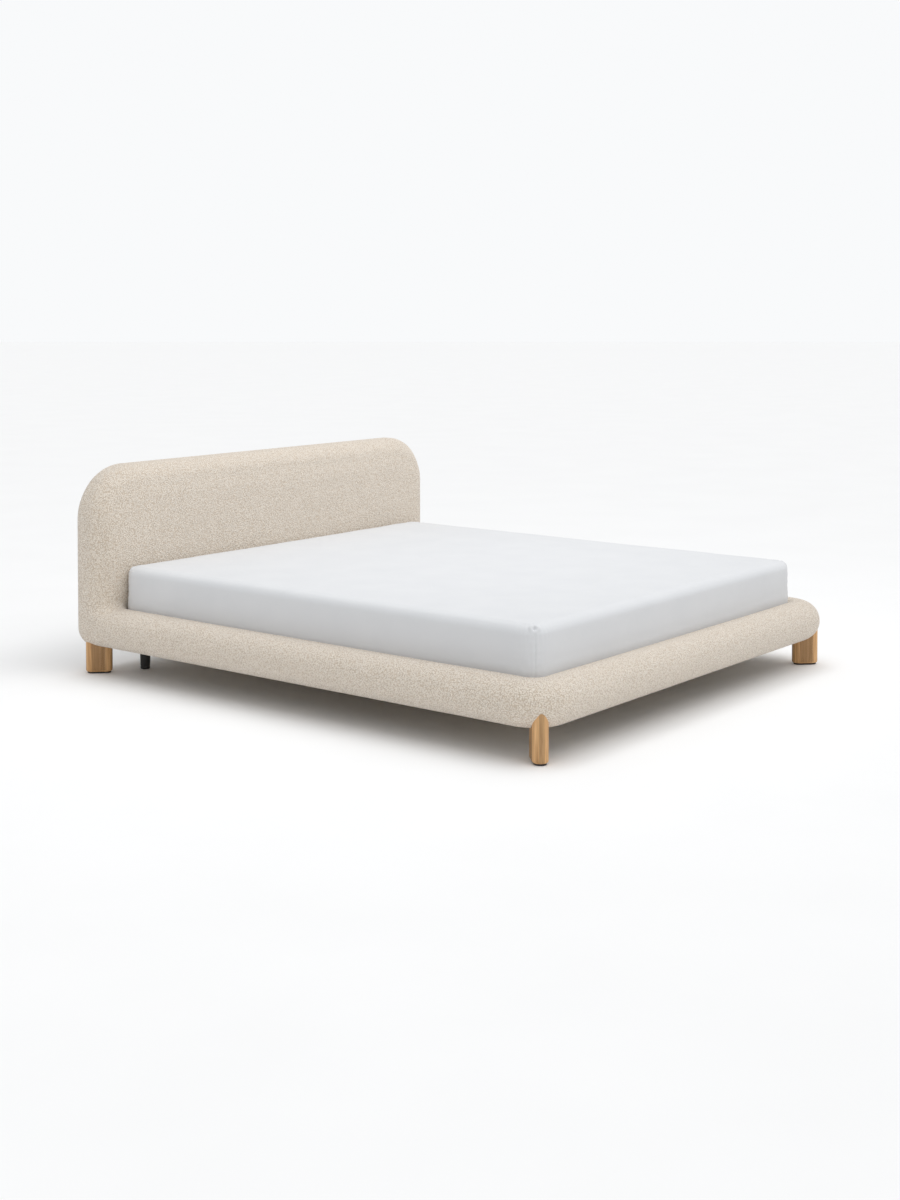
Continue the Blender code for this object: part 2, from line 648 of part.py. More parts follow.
def build_bed():
    clear_scene()
    make_materials()
    headboard_upholstery()
    headboard_frame()
    for side, suffix in ((-1, "left"), (1, "right")):
        side_rail_bolster(side, suffix)
    foot_rail_bolster()
    rail_boards()
    hanger_plates()
    corner_brackets()
    beam_brackets()
    corner_legs()
    support_legs()
    ledges_and_beam()
    slats()
    mattress()
    fitted_sheet()


build_bed()
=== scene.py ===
import json
import math

import bmesh
import bpy
import numpy as np
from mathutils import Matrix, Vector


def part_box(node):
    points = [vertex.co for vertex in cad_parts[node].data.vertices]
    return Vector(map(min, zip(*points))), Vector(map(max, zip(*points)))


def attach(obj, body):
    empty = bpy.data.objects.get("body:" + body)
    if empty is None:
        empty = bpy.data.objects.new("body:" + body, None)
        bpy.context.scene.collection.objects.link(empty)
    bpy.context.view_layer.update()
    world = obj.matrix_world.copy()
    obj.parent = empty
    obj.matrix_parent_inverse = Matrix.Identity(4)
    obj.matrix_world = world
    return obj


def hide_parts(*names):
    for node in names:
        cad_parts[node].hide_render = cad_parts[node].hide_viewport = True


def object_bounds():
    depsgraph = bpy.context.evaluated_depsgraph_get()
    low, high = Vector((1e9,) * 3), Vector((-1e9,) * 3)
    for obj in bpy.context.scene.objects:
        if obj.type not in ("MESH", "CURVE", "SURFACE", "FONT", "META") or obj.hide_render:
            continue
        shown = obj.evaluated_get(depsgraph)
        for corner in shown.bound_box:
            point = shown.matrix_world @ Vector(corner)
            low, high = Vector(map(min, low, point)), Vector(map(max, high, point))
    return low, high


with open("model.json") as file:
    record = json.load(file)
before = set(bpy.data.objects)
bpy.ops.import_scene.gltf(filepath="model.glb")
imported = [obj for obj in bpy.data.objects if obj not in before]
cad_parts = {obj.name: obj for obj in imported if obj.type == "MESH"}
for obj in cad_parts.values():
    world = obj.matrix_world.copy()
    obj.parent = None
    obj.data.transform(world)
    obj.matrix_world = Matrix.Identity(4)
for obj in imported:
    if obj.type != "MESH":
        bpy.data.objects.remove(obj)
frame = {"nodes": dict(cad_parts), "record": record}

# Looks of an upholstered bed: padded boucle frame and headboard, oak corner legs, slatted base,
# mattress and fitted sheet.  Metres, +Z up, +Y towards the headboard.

import openvdb
from mathutils import Vector, kdtree, noise

CAD_BOX = [list(corner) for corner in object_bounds()]


# ---------------------------------------------------------------- sizes read from the frame
LOW, HIGH = (Vector(corner) for corner in CAD_BOX)
rail_low, rail_high = (Vector(corner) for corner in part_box("side_rail_bolster_right"))
mattress_low, mattress_high = (Vector(corner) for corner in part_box("mattress"))
sheet_low, sheet_high = (Vector(corner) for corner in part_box("fitted_sheet"))

HALF_WIDTH = HIGH.x
HEIGHT = HIGH.z
BACK_Y = HIGH.y
FOOT_Y = LOW.y
RAIL_BOTTOM = rail_low.z
RAIL_TOP = rail_high.z
RAIL_MID_Z = (RAIL_TOP + RAIL_BOTTOM) / 2
RAIL_NOSE = (RAIL_TOP - RAIL_BOTTOM) / 2
RAIL_THICK = HALF_WIDTH - rail_low.x
RAIL_END_Y = rail_high.y
RAIL_CORNER = 0.165              # plan radius of the two foot corners
RAIL_INNER_CORNER = RAIL_CORNER - RAIL_THICK
RAIL_INNER_ROUND = 0.030         # rounding of the section towards the mattress
CORNER_X = HALF_WIDTH - RAIL_CORNER
CORNER_Y = FOOT_Y + RAIL_CORNER

HEAD_THICK = 0.152
HEAD_TOP_RADIUS = 0.215
HEAD_FRONT_ROUND = 0.070
HEAD_BACK_ROUND = 0.055
HEAD_MID_Y = BACK_Y - HEAD_THICK / 2
WING_END_Y = 1.046
BLEND = 0.045                    # how softly the rails run into the headboard
POCKET_MARGIN = 0.075            # of the hollow in the back, from the headboard's edge
POCKET_FLOOR = 0.185
POCKET_LOW_CORNER = 0.004
POCKET_FRONT_Y = BACK_Y - 0.110
POCKET_HALF_WIDTH = HALF_WIDTH - POCKET_MARGIN
POCKET_TOP = HEIGHT - POCKET_MARGIN

LEG_HALF_LENGTH = 0.052
LEG_HALF_THICK = 0.027
LEG_FOOT_ROUND = 0.0080
LEG_TOP_ROUND = 0.0035
LEG_OVERLAP = 0.004              # how far the cover reaches into a leg, so no gap shows
LEG_SOFTNESS = 0.002
BEVEL = 1 - math.sqrt(0.5)       # how far a round edge's middle stands in, for a radius of 1

FINE_VOXEL = 0.005
SIM_VOXEL = 0.015
FIELD_MARGIN = 0.020
FIELD_LOW = (-HALF_WIDTH - FIELD_MARGIN, FOOT_Y - FIELD_MARGIN, RAIL_BOTTOM - FIELD_MARGIN)
FIELD_HIGH = (HALF_WIDTH + FIELD_MARGIN, BACK_Y + FIELD_MARGIN, HEIGHT + FIELD_MARGIN)
FIELD_BAND = 3                   # voxels on each side of the surface for which a field is kept
FIELD_SLAB = 48                  # grid rows worked out at a time
CORNERS = [(side, end) for side in (-1, 1) for end in (-1, 1)]
SUFFIX = {-1: "left", 1: "right"}
END_NAME = {-1: "foot", 1: "head"}


def assign(piece, body, node=None):
    """A piece rides on a body, and may stand for a CAD node."""
    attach(piece, body)
    if node:
        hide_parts(node)


def linked(name, data):
    """A new object that shows data in the scene."""
    item = bpy.data.objects.new(name, data)
    bpy.context.scene.collection.objects.link(item)
    return item


# ---------------------------------------------------------------- materials
CURL_DENSITY = 200.0             # curls of the looped wool per metre
LOOP_DENSITY = 520.0
FIBRE_DENSITY = 900.0
CURL_WANDER = 0.002
CURL_RELIEF = 0.0025
# The yarn's colour by the loops' height: darker in the low gaps between curls, which is painted
# shade, and lighter on the curls' crowns, which is painted light.
YARN_AND_PAINTED_SHADE = [(0.0, (0.620, 0.515, 0.405)), (0.30, (0.800, 0.702, 0.586)),
        (0.60, (0.905, 0.812, 0.696)), (1.0, (0.985, 0.920, 0.826))]
OAK_TONES = ((0.400, 0.205, 0.078), (0.790, 0.480, 0.225))
PINE_TONES = ((0.520, 0.345, 0.180), (0.760, 0.590, 0.390))
BIRCH_TONES = ((0.600, 0.450, 0.280), (0.790, 0.650, 0.470))
PLY_TONES = ((0.470, 0.330, 0.190), (0.700, 0.545, 0.360))
STAVE_WIDTH = 0.018              # of the strips glued side by side into a leg
STAVE_LEVELS = (0.70, 1.04)      # brightness of the middle strip and of its neighbours
STAVE_SHIFT = 3.0                # how far the grain jumps from strip to strip
GLUE_LINE = (0.465, 0.495, 1.0, 0.78)  # where a glue line darkens a strip, and how much
COTTON_TONES = ((0.705, 0.715, 0.732), (0.728, 0.737, 0.752))
COTTON_THREAD = 0.0011
TICKING_TONES = ((0.720, 0.705, 0.675), (0.800, 0.790, 0.765))
TICKING_STRIPE = 0.024
TICKING_RIB = 0.003
LINING_TONES = ((0.030, 0.029, 0.028), (0.085, 0.082, 0.078))
WEBBING_TONES = ((0.070, 0.067, 0.064), (0.160, 0.152, 0.145))
WEBBING_RIBS = (0.0024, 0.0036)
PLASTIC_TONES = ((0.012, 0.012, 0.013), (0.030, 0.030, 0.032))
ZINC_TONES = ((0.470, 0.470, 0.460), (0.620, 0.620, 0.600))
FLOOR_TONES = ((0.935, 0.935, 0.935), (0.950, 0.950, 0.950))


def opaque(value):
    """A colour socket as it is, or a plain colour with its alpha."""
    return value if isinstance(value, bpy.types.NodeSocket) else (*value, 1.0)


class Shader:
    """A Principled material with short calls for the nodes that drive it."""

    def __init__(self, name, roughness, **constants):
        self.material = bpy.data.materials.new(name)
        self.material.use_nodes = True
        self.tree = self.material.node_tree
        self.surface = self.tree.nodes["Principled BSDF"]
        self.surface.inputs["Roughness"].default_value = roughness
        for socket, value in constants.items():
            self.surface.inputs[socket.replace("_", " ")].default_value = value
        self.place = self.node("ShaderNodeTexCoord").outputs["Object"]

    def node(self, kind, settings=None, **inputs):
        made = self.tree.nodes.new(kind)
        for key, value in (settings or {}).items():
            setattr(made, key, value)
        for key, value in inputs.items():
            socket = made.inputs[key.replace("_", " ")]
            self.feed(socket, value)
        return made

    def feed(self, socket, value):
        if isinstance(value, bpy.types.NodeSocket):
            self.tree.links.new(value, socket)
        else:
            socket.default_value = value

    def stretched(self, scale, vector=None):
        """Coordinates scaled by axis."""
        mapping = self.node("ShaderNodeMapping", Vector=vector or self.place, Scale=scale)
        return mapping.outputs["Vector"]

    def nudged(self, by, amount):
        """Object coordinates moved by a colour times an amount."""
        made = self.node("ShaderNodeVectorMath", {"operation": "MULTIPLY_ADD"})
        self.feed(made.inputs[0], by)
        made.inputs[1].default_value = [amount] * 3
        self.feed(made.inputs[2], self.place)
        return made.outputs["Vector"]

    def noise(self, scale, detail=3.0, rough=0.55, vector=None, distortion=0.0):
        made = self.node(
            "ShaderNodeTexNoise", Vector=vector or self.place, Scale=scale, Detail=detail,
            Roughness=rough, Distortion=distortion,
        )
        return made.outputs["Fac"]

    def voronoi(self, scale, vector=None):
        return self.node("ShaderNodeTexVoronoi", Vector=vector or self.place, Scale=scale)

    def math(self, operation, first, second=0.0):
        made = self.node("ShaderNodeMath", {"operation": operation})
        self.feed(made.inputs[0], first)
        self.feed(made.inputs[1], second)
        return made.outputs[0]

    def plus(self, first, second, weight=1.0):
        """The first value plus a share of the second."""
        return self.math("ADD", first, self.math("MULTIPLY", second, weight))

    def thread(self, axis, pitch):
        """A wave across one axis, from -1 to 1."""
        apart = self.node("ShaderNodeSeparateXYZ", Vector=self.place)
        return self.math("SINE", self.math("MULTIPLY", apart.outputs[axis], 2 * math.pi / pitch))

    def span(self, value, low, high, to_low=0.0, to_high=1.0):
        made = self.node("ShaderNodeMapRange", Value=value)
        made.inputs["From Min"].default_value = low
        made.inputs["From Max"].default_value = high
        made.inputs["To Min"].default_value = to_low
        made.inputs["To Max"].default_value = to_high
        return made.outputs["Result"]

    def ramp(self, value, stops):
        made = self.node("ShaderNodeValToRGB", Fac=value)
        elements = made.color_ramp.elements
        while len(elements) < len(stops):
            elements.new(0.5)
        for element, (position, colour) in zip(elements, stops):
            element.position = position
            element.color = (*colour, 1.0)
        return made.outputs["Color"]

    def shade(self, value, tones, low=0.0, high=1.0):
        """From a dark to a light tone, as the value goes from low to high."""
        return self.ramp(self.span(value, low, high), [(0.0, tones[0]), (1.0, tones[1])])

    def mix(self, factor, first, second, blend="MIX"):
        made = self.node("ShaderNodeMix", {"data_type": "RGBA", "blend_type": blend})
        self.feed(made.inputs[0], factor)
        self.feed(made.inputs[6], opaque(first))
        self.feed(made.inputs[7], opaque(second))
        return made.outputs[2]

    def brightness(self, colour, value):
        """Multiplies a colour by a grey value."""
        grey = self.node("ShaderNodeCombineColor", Red=value, Green=value, Blue=value)
        return self.mix(1.0, colour, grey.outputs["Color"], "MULTIPLY")

    def bump(self, height, strength, distance):
        made = self.node("ShaderNodeBump", Height=height, Strength=strength, Distance=distance)
        self.feed(self.surface.inputs["Normal"], made.outputs["Normal"])

    def colour(self, value):
        self.feed(self.surface.inputs["Base Color"], opaque(value))

    def roughness(self, value):
        self.feed(self.surface.inputs["Roughness"], value)


def boucle():
    """Looped cream wool: small round curls, with painted shade in the gaps between them and painted
    light on their crowns.
    """
    made = Shader("boucle", 0.95, Sheen_Weight=0.40, Sheen_Roughness=0.6,
                  Specular_IOR_Level=0.2)
    wobble = made.node("ShaderNodeTexNoise", Vector=made.place, Scale=300.0, Detail=2.0)
    curl_place = made.nudged(wobble.outputs["Color"], CURL_WANDER)
    curls = made.voronoi(CURL_DENSITY, curl_place)
    loops = made.voronoi(LOOP_DENSITY, curl_place)
    fibre = made.noise(FIBRE_DENSITY, 2.0)
    crown = made.span(curls.outputs["Distance"], 0.10, 0.72, 1.0, 0.0)
    small = made.span(loops.outputs["Distance"], 0.0, 0.8, 1.0, 0.0)
    height = made.plus(made.plus(crown, small, 0.30), fibre, 0.12)
    # Colour from height: painted shade in the gaps between curls, painted light on their crowns.
    yarn_with_painted_shade = made.ramp(made.span(height, 0.15, 1.20), YARN_AND_PAINTED_SHADE)
    tone = made.node("ShaderNodeSeparateColor", Color=curls.outputs["Color"])
    each = made.span(tone.outputs[0], 0.0, 1.0, 0.95, 1.03)
    made.colour(made.brightness(yarn_with_painted_shade, each))
    made.bump(height, 1.0, CURL_RELIEF)
    return made.material


def wood(name, tones, along, grain=1.0, stave=0.0, roughness=0.55):
    """Wood whose grain runs along one axis; stave is the width of glued strips across Y."""
    made = Shader(name, roughness, Specular_IOR_Level=0.4)
    place = made.place
    if stave:
        apart = made.node("ShaderNodeSeparateXYZ", Vector=made.place)
        across = made.math("ADD", made.math("DIVIDE", apart.outputs[1], stave), 0.5)
        strip = made.math("FLOOR", across)
        random = made.node("ShaderNodeTexWhiteNoise", {"noise_dimensions": "1D"}, W=strip)
        place = made.nudged(random.outputs["Color"], STAVE_SHIFT)

    def drawn_out(across_grain, along_grain):
        scale = [across_grain * grain] * 3
        scale[along] = along_grain
        return made.stretched(scale, place)

    pores = made.noise(6.0, 4.0, 0.65, drawn_out(90.0, 3.0))
    figure = made.noise(2.2, 4.0, 0.5, drawn_out(14.0, 0.9), 1.2)
    streaks = made.noise(6.0, 3.0, 0.6, drawn_out(38.0, 0.8))
    rings = made.math("SINE", made.math("MULTIPLY", figure, 26.0))
    tone = made.plus(made.math("MULTIPLY", figure, 0.55), made.span(rings, -1.0, 1.0), 0.22)
    tone = made.plus(made.plus(tone, pores, 0.45), streaks, 0.50)
    shade = made.shade(tone, tones, 0.62, 1.10)
    if stave:
        level = made.span(made.math("PINGPONG", strip, 1.0), 0.0, 1.0, *STAVE_LEVELS)
        middle = made.math("ABSOLUTE", made.math("SUBTRACT", made.math("FRACT", across), 0.5))
        shade = made.brightness(shade, made.math("MULTIPLY", level, made.span(middle, *GLUE_LINE)))
    made.colour(shade)
    made.roughness(made.span(pores, 0.3, 0.7, roughness + 0.12, roughness - 0.06))
    made.bump(pores, 0.30, 0.0008)
    return made.material


def cotton():
    """Smooth white percale with a barely visible weave."""
    made = Shader("white_cotton", 0.85, Sheen_Weight=0.12, Specular_IOR_Level=0.3)
    weave = made.math("MULTIPLY", made.thread(0, COTTON_THREAD), made.thread(1, COTTON_THREAD))
    made.colour(made.shade(made.noise(7.0, 4.0, 0.5), COTTON_TONES, 0.3, 0.7))
    creases = made.noise(26.0, 3.0, 0.5, distortion=0.6)
    made.bump(made.plus(creases, weave, 0.10), 0.06, 0.0030)
    return made.material


def ticking():
    """Off-white mattress cover with woven stripes."""
    made = Shader("ticking", 0.9, Sheen_Weight=0.2)
    stripe = made.span(made.thread(0, TICKING_STRIPE), -0.2, 0.2)
    rib = made.math("MULTIPLY", made.thread(0, TICKING_RIB), made.thread(1, TICKING_RIB))
    made.colour(made.mix(stripe, *TICKING_TONES))
    made.bump(made.plus(rib, stripe, 0.5), 0.3, 0.0008)
    return made.material


def lining():
    """Dark felted cover cloth on the back of the headboard."""
    made = Shader("lining", 0.95, Sheen_Weight=0.15)
    fibre = made.noise(420.0, 4.0, 0.7)
    dots = made.voronoi(260.0).outputs["Distance"]
    made.colour(made.shade(made.math("MULTIPLY", fibre, dots), LINING_TONES, 0.05, 0.45))
    made.bump(made.plus(fibre, dots), 0.4, 0.0008)
    return made.material


def webbing():
    """Ribbed dark tape that holds the slats together."""
    made = Shader("webbing", 0.9)
    rib = made.plus(made.thread(0, WEBBING_RIBS[0]), made.thread(1, WEBBING_RIBS[1]))
    made.colour(made.mix(made.span(rib, -2.0, 2.0), *WEBBING_TONES))
    made.bump(rib, 0.5, 0.0006)
    return made.material


def black_plastic():
    """Moulded plastic with a fine grain and dull scuffs."""
    made = Shader("black_plastic", 0.45, Specular_IOR_Level=0.5)
    grain = made.voronoi(1500.0).outputs["Distance"]
    scuff = made.noise(45.0, 5.0, 0.7)
    made.colour(made.shade(scuff, PLASTIC_TONES, 0.35, 0.8))
    made.roughness(made.span(scuff, 0.3, 0.8, 0.38, 0.60))
    made.bump(grain, 0.2, 0.0003)
    return made.material


def zinc_steel():
    """Zinc-plated sheet steel with its spangle."""
    made = Shader("zinc_steel", 0.35, Metallic=1.0)
    spangle = made.node("ShaderNodeSeparateColor", Color=made.voronoi(160.0).outputs["Color"])
    streak = made.noise(60.0, 3.0, 0.6, made.stretched((1.0, 1.0, 12.0)))
    made.colour(made.shade(spangle.outputs[0], ZINC_TONES))
    made.roughness(made.span(streak, 0.3, 0.7, 0.28, 0.46))
    made.bump(streak, 0.1, 0.0003)
    return made.material


def floor_paint():
    made = Shader("studio_floor", 0.75, Specular_IOR_Level=0.15)
    made.colour(made.shade(made.noise(2.0, 3.0, 0.5), FLOOR_TONES, 0.3, 0.7))
    return made.material


def make_materials():
    return {
        "boucle": boucle(),
        "oak": wood("oak", OAK_TONES, along=2, stave=STAVE_WIDTH, roughness=0.5),
        "pine_x": wood("pine_across", PINE_TONES, along=0),
        "pine_y": wood("pine_along", PINE_TONES, along=1),
        "pine_z": wood("pine_upright", PINE_TONES, along=2),
        "birch": wood("birch", BIRCH_TONES, along=0, grain=0.8),
        "plywood": wood("plywood", PLY_TONES, along=0, grain=0.6, roughness=0.7),
        "black_plastic": black_plastic(),
        "zinc_steel": zinc_steel(),
        "webbing": webbing(),
        "lining": lining(),
        "ticking": ticking(),
        "white_cotton": cotton(),
    }


def dress_nodes(materials):
    """Gives every CAD node the procedural material of its slot."""
    for part in frame["record"]["subparts"]:
        item = frame["nodes"][part["node"]]
        slot_name = part["material_slot"]
        if slot_name == "pine":
            low, high = (np.array(corner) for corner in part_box(part["node"]))
            slot_name = "pine_" + "xyz"[int(np.argmax(high - low))]
        item.data.materials.clear()
        item.data.materials.append(materials[slot_name])


# ---------------------------------------------------------------- distance fields
def corner_distance(first, second):
    """Distance to a square corner, from the distances to its two faces; round outside it."""
    outside = np.hypot(np.maximum(first, 0.0), np.maximum(second, 0.0))
    return np.minimum(np.maximum(first, second), 0.0) + outside


def rounded_max(first, second, radius):
    """Intersection of two fields with a round of that radius where they meet."""
    return corner_distance(first + radius, second + radius) - radius


def soft_min(first, second, softness):
    share = np.clip(0.5 + 0.5 * (second - first) / softness, 0.0, 1.0)
    return second + (first - second) * share - softness * share * (1.0 - share)


def soft_max(first, second, softness):
    return -soft_min(-first, -second, softness)


def box_field(place, low, high):
    sides = [np.abs(value - (a + b) / 2) - (b - a) / 2 for value, a, b in zip(place, low, high)]
    return np.maximum(np.maximum(sides[0], sides[1]), sides[2])


def plan_field(x, y):
    """Distance outwards from the tray's inner face, in plan; open towards the headboard."""
    return corner_distance(np.abs(x) - CORNER_X, CORNER_Y - y) - RAIL_INNER_CORNER


def outline_field(x, z, half_width, floor, top, floor_radius, top_radius):
    """A rectangle seen from the front, with its own rounding above and below."""
    middle = (top + floor) / 2
    radius = np.where(z > middle, top_radius, floor_radius).astype(np.float32)
    return rounded_max(np.abs(x) - half_width, np.abs(z - middle) - (top - floor) / 2, radius)


def leg_frame(side, end):
    """Plan centre, direction of the long axis and top of a corner leg."""
    low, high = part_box(f"{END_NAME[end]}_leg_{SUFFIX[side]}")
    centre = ((low[0] + high[0]) / 2, (low[1] + high[1]) / 2)
    heading = math.radians(45 if side * end > 0 else 135)
    return centre, heading, high[2]


def leg_field(x, y, z, side, end):
    (centre_x, centre_y), heading, top = leg_frame(side, end)
    along = (x - centre_x) * math.cos(heading) + (y - centre_y) * math.sin(heading)
    across = (y - centre_y) * math.cos(heading) - (x - centre_x) * math.sin(heading)
    beyond = np.maximum(np.abs(along) - (LEG_HALF_LENGTH - LEG_HALF_THICK), 0.0)
    plan = np.hypot(beyond, across) - LEG_HALF_THICK
    return np.maximum(plan, z - top)


EMBEDDED = ["side_rail_board_left", "side_rail_board_right", "foot_rail_board",
            "rail_hanger_left", "rail_hanger_right", "head_cross_board"]
EMBEDDED_GAP = 0.0012


def upholstery_field(x, y, z):
    """Signed distance to the padded frame and headboard, legs and boards cut out."""
    plan = plan_field(x, y)
    depth = RAIL_THICK - plan
    nose = np.hypot(np.maximum(RAIL_NOSE - depth, 0.0), z - RAIL_MID_Z) - RAIL_NOSE
    rail = rounded_max(nose, -plan, RAIL_INNER_ROUND)
    rail = np.maximum(rail, y - WING_END_Y)
    outline = outline_field(x, z, HALF_WIDTH, RAIL_BOTTOM, HEIGHT, RAIL_NOSE, HEAD_TOP_RADIUS)
    edge = np.where(y < HEAD_MID_Y, HEAD_FRONT_ROUND, HEAD_BACK_ROUND).astype(np.float32)
    head = rounded_max(outline, np.abs(y - HEAD_MID_Y) - HEAD_THICK / 2, edge)
    body = np.maximum(soft_min(rail, head, BLEND), outline)
    for side, end in CORNERS:
        body = soft_max(body, -leg_field(x, y, z, side, end) - LEG_OVERLAP, LEG_SOFTNESS)
    for node in EMBEDDED:
        body = np.maximum(body, EMBEDDED_GAP - box_field((x, y, z), *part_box(node)))
    pocket = outline_field(x, z, POCKET_HALF_WIDTH, POCKET_FLOOR, POCKET_TOP,
                           POCKET_LOW_CORNER, HEAD_TOP_RADIUS - POCKET_MARGIN)
    return np.maximum(body, -np.maximum(pocket, POCKET_FRONT_Y - y))


def field_mesh(field, voxel, shrink=0.0):
    """Points and quads of a field's zero surface, found on a regular grid."""
    counts = [int(math.ceil((b - a) / voxel)) + 1 for a, b in zip(FIELD_LOW, FIELD_HIGH)]
    axes = [(a + voxel * np.arange(n)).astype(np.float32) for a, n in zip(FIELD_LOW, counts)]
    values = np.empty(counts, dtype=np.float32)
    for start in range(0, counts[1], FIELD_SLAB):
        part = slice(start, start + FIELD_SLAB)
        values[:, part] = field(axes[0][:, None, None], axes[1][None, part, None],
                                axes[2][None, None, :])
    band = FIELD_BAND * voxel
    np.clip(values + shrink, -band, band, out=values)
    grid = openvdb.FloatGrid(band)
    grid.copyFromArray(values)
    points, quads = grid.convertToQuads(0.0)
    points = points.astype(np.float64) * voxel + np.array(FIELD_LOW)
    quads = quads.astype(np.int64)
    a, b, c, d = (points[quads[:, k]] for k in range(4))
    volume = (np.cross(a, b) * c).sum() + (np.cross(a, c) * d).sum()
    return points, (quads if volume > 0 else quads[:, ::-1])


def gradient(field, points, step=0.0008):
    columns = []
    for axis in range(3):
        shift = np.zeros(3)
        shift[axis] = step
        ahead = field(*(points + shift).T)
        behind = field(*(points - shift).T)
        columns.append((ahead - behind) / (2 * step))
    slope = np.stack(columns, axis=1)
    return slope / np.maximum(np.linalg.norm(slope, axis=1, keepdims=True), 1e-6)


def settle(field, points, voxel, rounds=2, longest_step=0.4):
    """Moves grid points onto the exact zero surface, by at most a share of a voxel a round."""
    reach = longest_step * voxel
    for _ in range(rounds):
        value = field(*points.T)[:, None]
        points = points - gradient(field, points) * np.clip(value, -reach, reach)
    return points


# ---------------------------------------------------------------- mesh helpers
def mesh_object(name, points, faces, material=None, smooth=True):
    mesh = bpy.data.meshes.new(name)
    if isinstance(faces, np.ndarray):
        faces = faces.tolist()
    mesh.from_pydata(np.asarray(points).tolist(), [], faces)
    mesh.validate()
    if smooth:
        mesh.shade_smooth()
    else:
        mesh.shade_flat()
    if material:
        mesh.materials.append(material)
    return linked(name, mesh)


def discard(item):
    mesh = item.data
    bpy.data.objects.remove(item, do_unlink=True)
    bpy.data.meshes.remove(mesh)


def bands(pairs, size):
    """Quads between loops of equal length; a pair is the first points of two neighbours."""
    return [(a + k, a + (k + 1) % size, b + (k + 1) % size, b + k)
            for a, b in pairs for k in range(size)]


def vertex_normals(points, faces):
    a, b, c, d = (points[faces[:, k]] for k in range(4))
    face_normal = np.cross(c - a, d - b)
    total = np.zeros_like(points)
    for corner in range(4):
        np.add.at(total, faces[:, corner], face_normal)
    return total / np.maximum(np.linalg.norm(total, axis=1, keepdims=True), 1e-12)


def smoothed(values, faces, rounds):
    """Averages one value per point with its neighbours' a few times."""
    for _ in range(rounds):
        total = np.zeros_like(values)
        count = np.zeros(len(values))
        for k in range(4):
            first, second = faces[:, k], faces[:, (k + 1) % 4]
            np.add.at(total, first, values[second])
            np.add.at(total, second, values[first])
            np.add.at(count, first, 1)
            np.add.at(count, second, 1)
        mean = total / np.maximum(count, 1)
        values = 0.5 * values + 0.5 * mean
    return values


CLOTH = {"quality": 4, "vertex_group_mass": "pin", "use_pressure": True,
         "tension_stiffness": 20.0, "compression_stiffness": 20.0, "bending_stiffness": 4.0}
CLOTH_FRAMES = 20


def swell(points, faces, pinned, pressure):
    """Cloth simulation: air pressure inside, no gravity.  Returns how far each point moved."""
    item = mesh_object("simulated", points, faces)
    group = item.vertex_groups.new(name="pin")
    group.add([int(k) for k in np.flatnonzero(pinned)], 1.0, "REPLACE")
    modifier = item.modifiers.new("cloth", "CLOTH")
    for setting, value in CLOTH.items():
        setattr(modifier.settings, setting, value)
    modifier.settings.uniform_pressure_force = pressure
    modifier.settings.effector_weights.gravity = 0.0
    modifier.collision_settings.use_collision = False
    modifier.collision_settings.use_self_collision = False
    modifier.point_cache.frame_start = 1
    modifier.point_cache.frame_end = CLOTH_FRAMES
    scene = bpy.context.scene
    for number in range(1, CLOTH_FRAMES + 1):
        scene.frame_set(number)
    evaluated = item.evaluated_get(bpy.context.evaluated_depsgraph_get())
    result = np.empty(len(points) * 3, dtype=np.float32)
    evaluated.data.vertices.foreach_get("co", result)
    scene.frame_set(1)
    discard(item)
    return result.reshape(-1, 3) - points


def carried(values, sources, targets, near=4, softening=0.002):
    """Values at new points, averaged from the nearest source points."""
    tree = kdtree.KDTree(len(sources))
    for index, point in enumerate(sources.tolist()):
        tree.insert(point, index)
    tree.balance()
    result = np.empty(len(targets))
    for index, point in enumerate(targets.tolist()):
        found = tree.find_n(point, near)
        weights = [1.0 / (distance + softening) for _, _, distance in found]
        total = sum(values[k] * w for (_, k, _), w in zip(found, weights))
        result[index] = total / sum(weights)
    return result


def bell(value, width):
    return np.exp(-((value / width) ** 2))


# ---------------------------------------------------------------- upholstery
PUFF_PRESSURE = 4.0
PUFF_LIMIT = 0.005           # how far the filling may lift or drop the cover
PUFF_SMOOTHING = 6
START_SMALLER = 0.004
TRAY_HELD = 0.012            # the cover is held this close to the tray's inner face,
TRAY_TOP_FREE = 0.020        # except this close to the rail's top,
UNDERSIDE_HELD = 0.012       # and this close to the underside,
BACK_HELD = 0.025            # the back,
POCKET_HELD = 0.008          # the hollow in the back
LEG_HELD = 0.010             # and the legs
NUB_PITCH = 0.0115
NUB_HEIGHT = 0.0005
NUB_REACH = 0.8              # of a loop's dome, in pitches
DART_DEPTH = 0.0016
DART_HALF_WIDTH = 0.004
DART_LEAD = 0.012            # a tuck starts this far inside the front edge's rounding
DART_FADE = 0.020
DART_STOP = 0.060            # and stops this far from the back
PRESSED_PLAN = 0.002         # from the tray's inner face to where the loops begin to rise,
PRESSED_FADE = 0.020         # the width of that change
PRESSED_NUBS = 0.25          # and the share of their height that is left at the face


def stuffing(points):
    """Swelling of the padding under its cover, by cloth simulation on a coarse copy."""
    coarse, faces = field_mesh(upholstery_field, SIM_VOXEL, START_SMALLER)
    x, y, z = coarse.T
    held = (plan_field(x, y) < TRAY_HELD) & (z < RAIL_TOP - TRAY_TOP_FREE) & (y < HEAD_MID_Y)
    held |= z < RAIL_BOTTOM + UNDERSIDE_HELD
    held |= y > BACK_Y - BACK_HELD
    held |= (np.abs(x) < POCKET_HALF_WIDTH + POCKET_HELD) & (y > POCKET_FRONT_Y - POCKET_HELD)
    for side, end in CORNERS:
        held |= leg_field(x, y, z, side, end) < LEG_HELD
    moved = swell(coarse, faces, held, PUFF_PRESSURE)
    lift = (moved * vertex_normals(coarse, faces)).sum(axis=1)
    lift = np.where(held, 0.0, lift - np.median(lift[~held]))
    lift = smoothed(np.clip(lift, -PUFF_LIMIT, PUFF_LIMIT), faces, PUFF_SMOOTHING)
    return carried(lift, coarse, points)


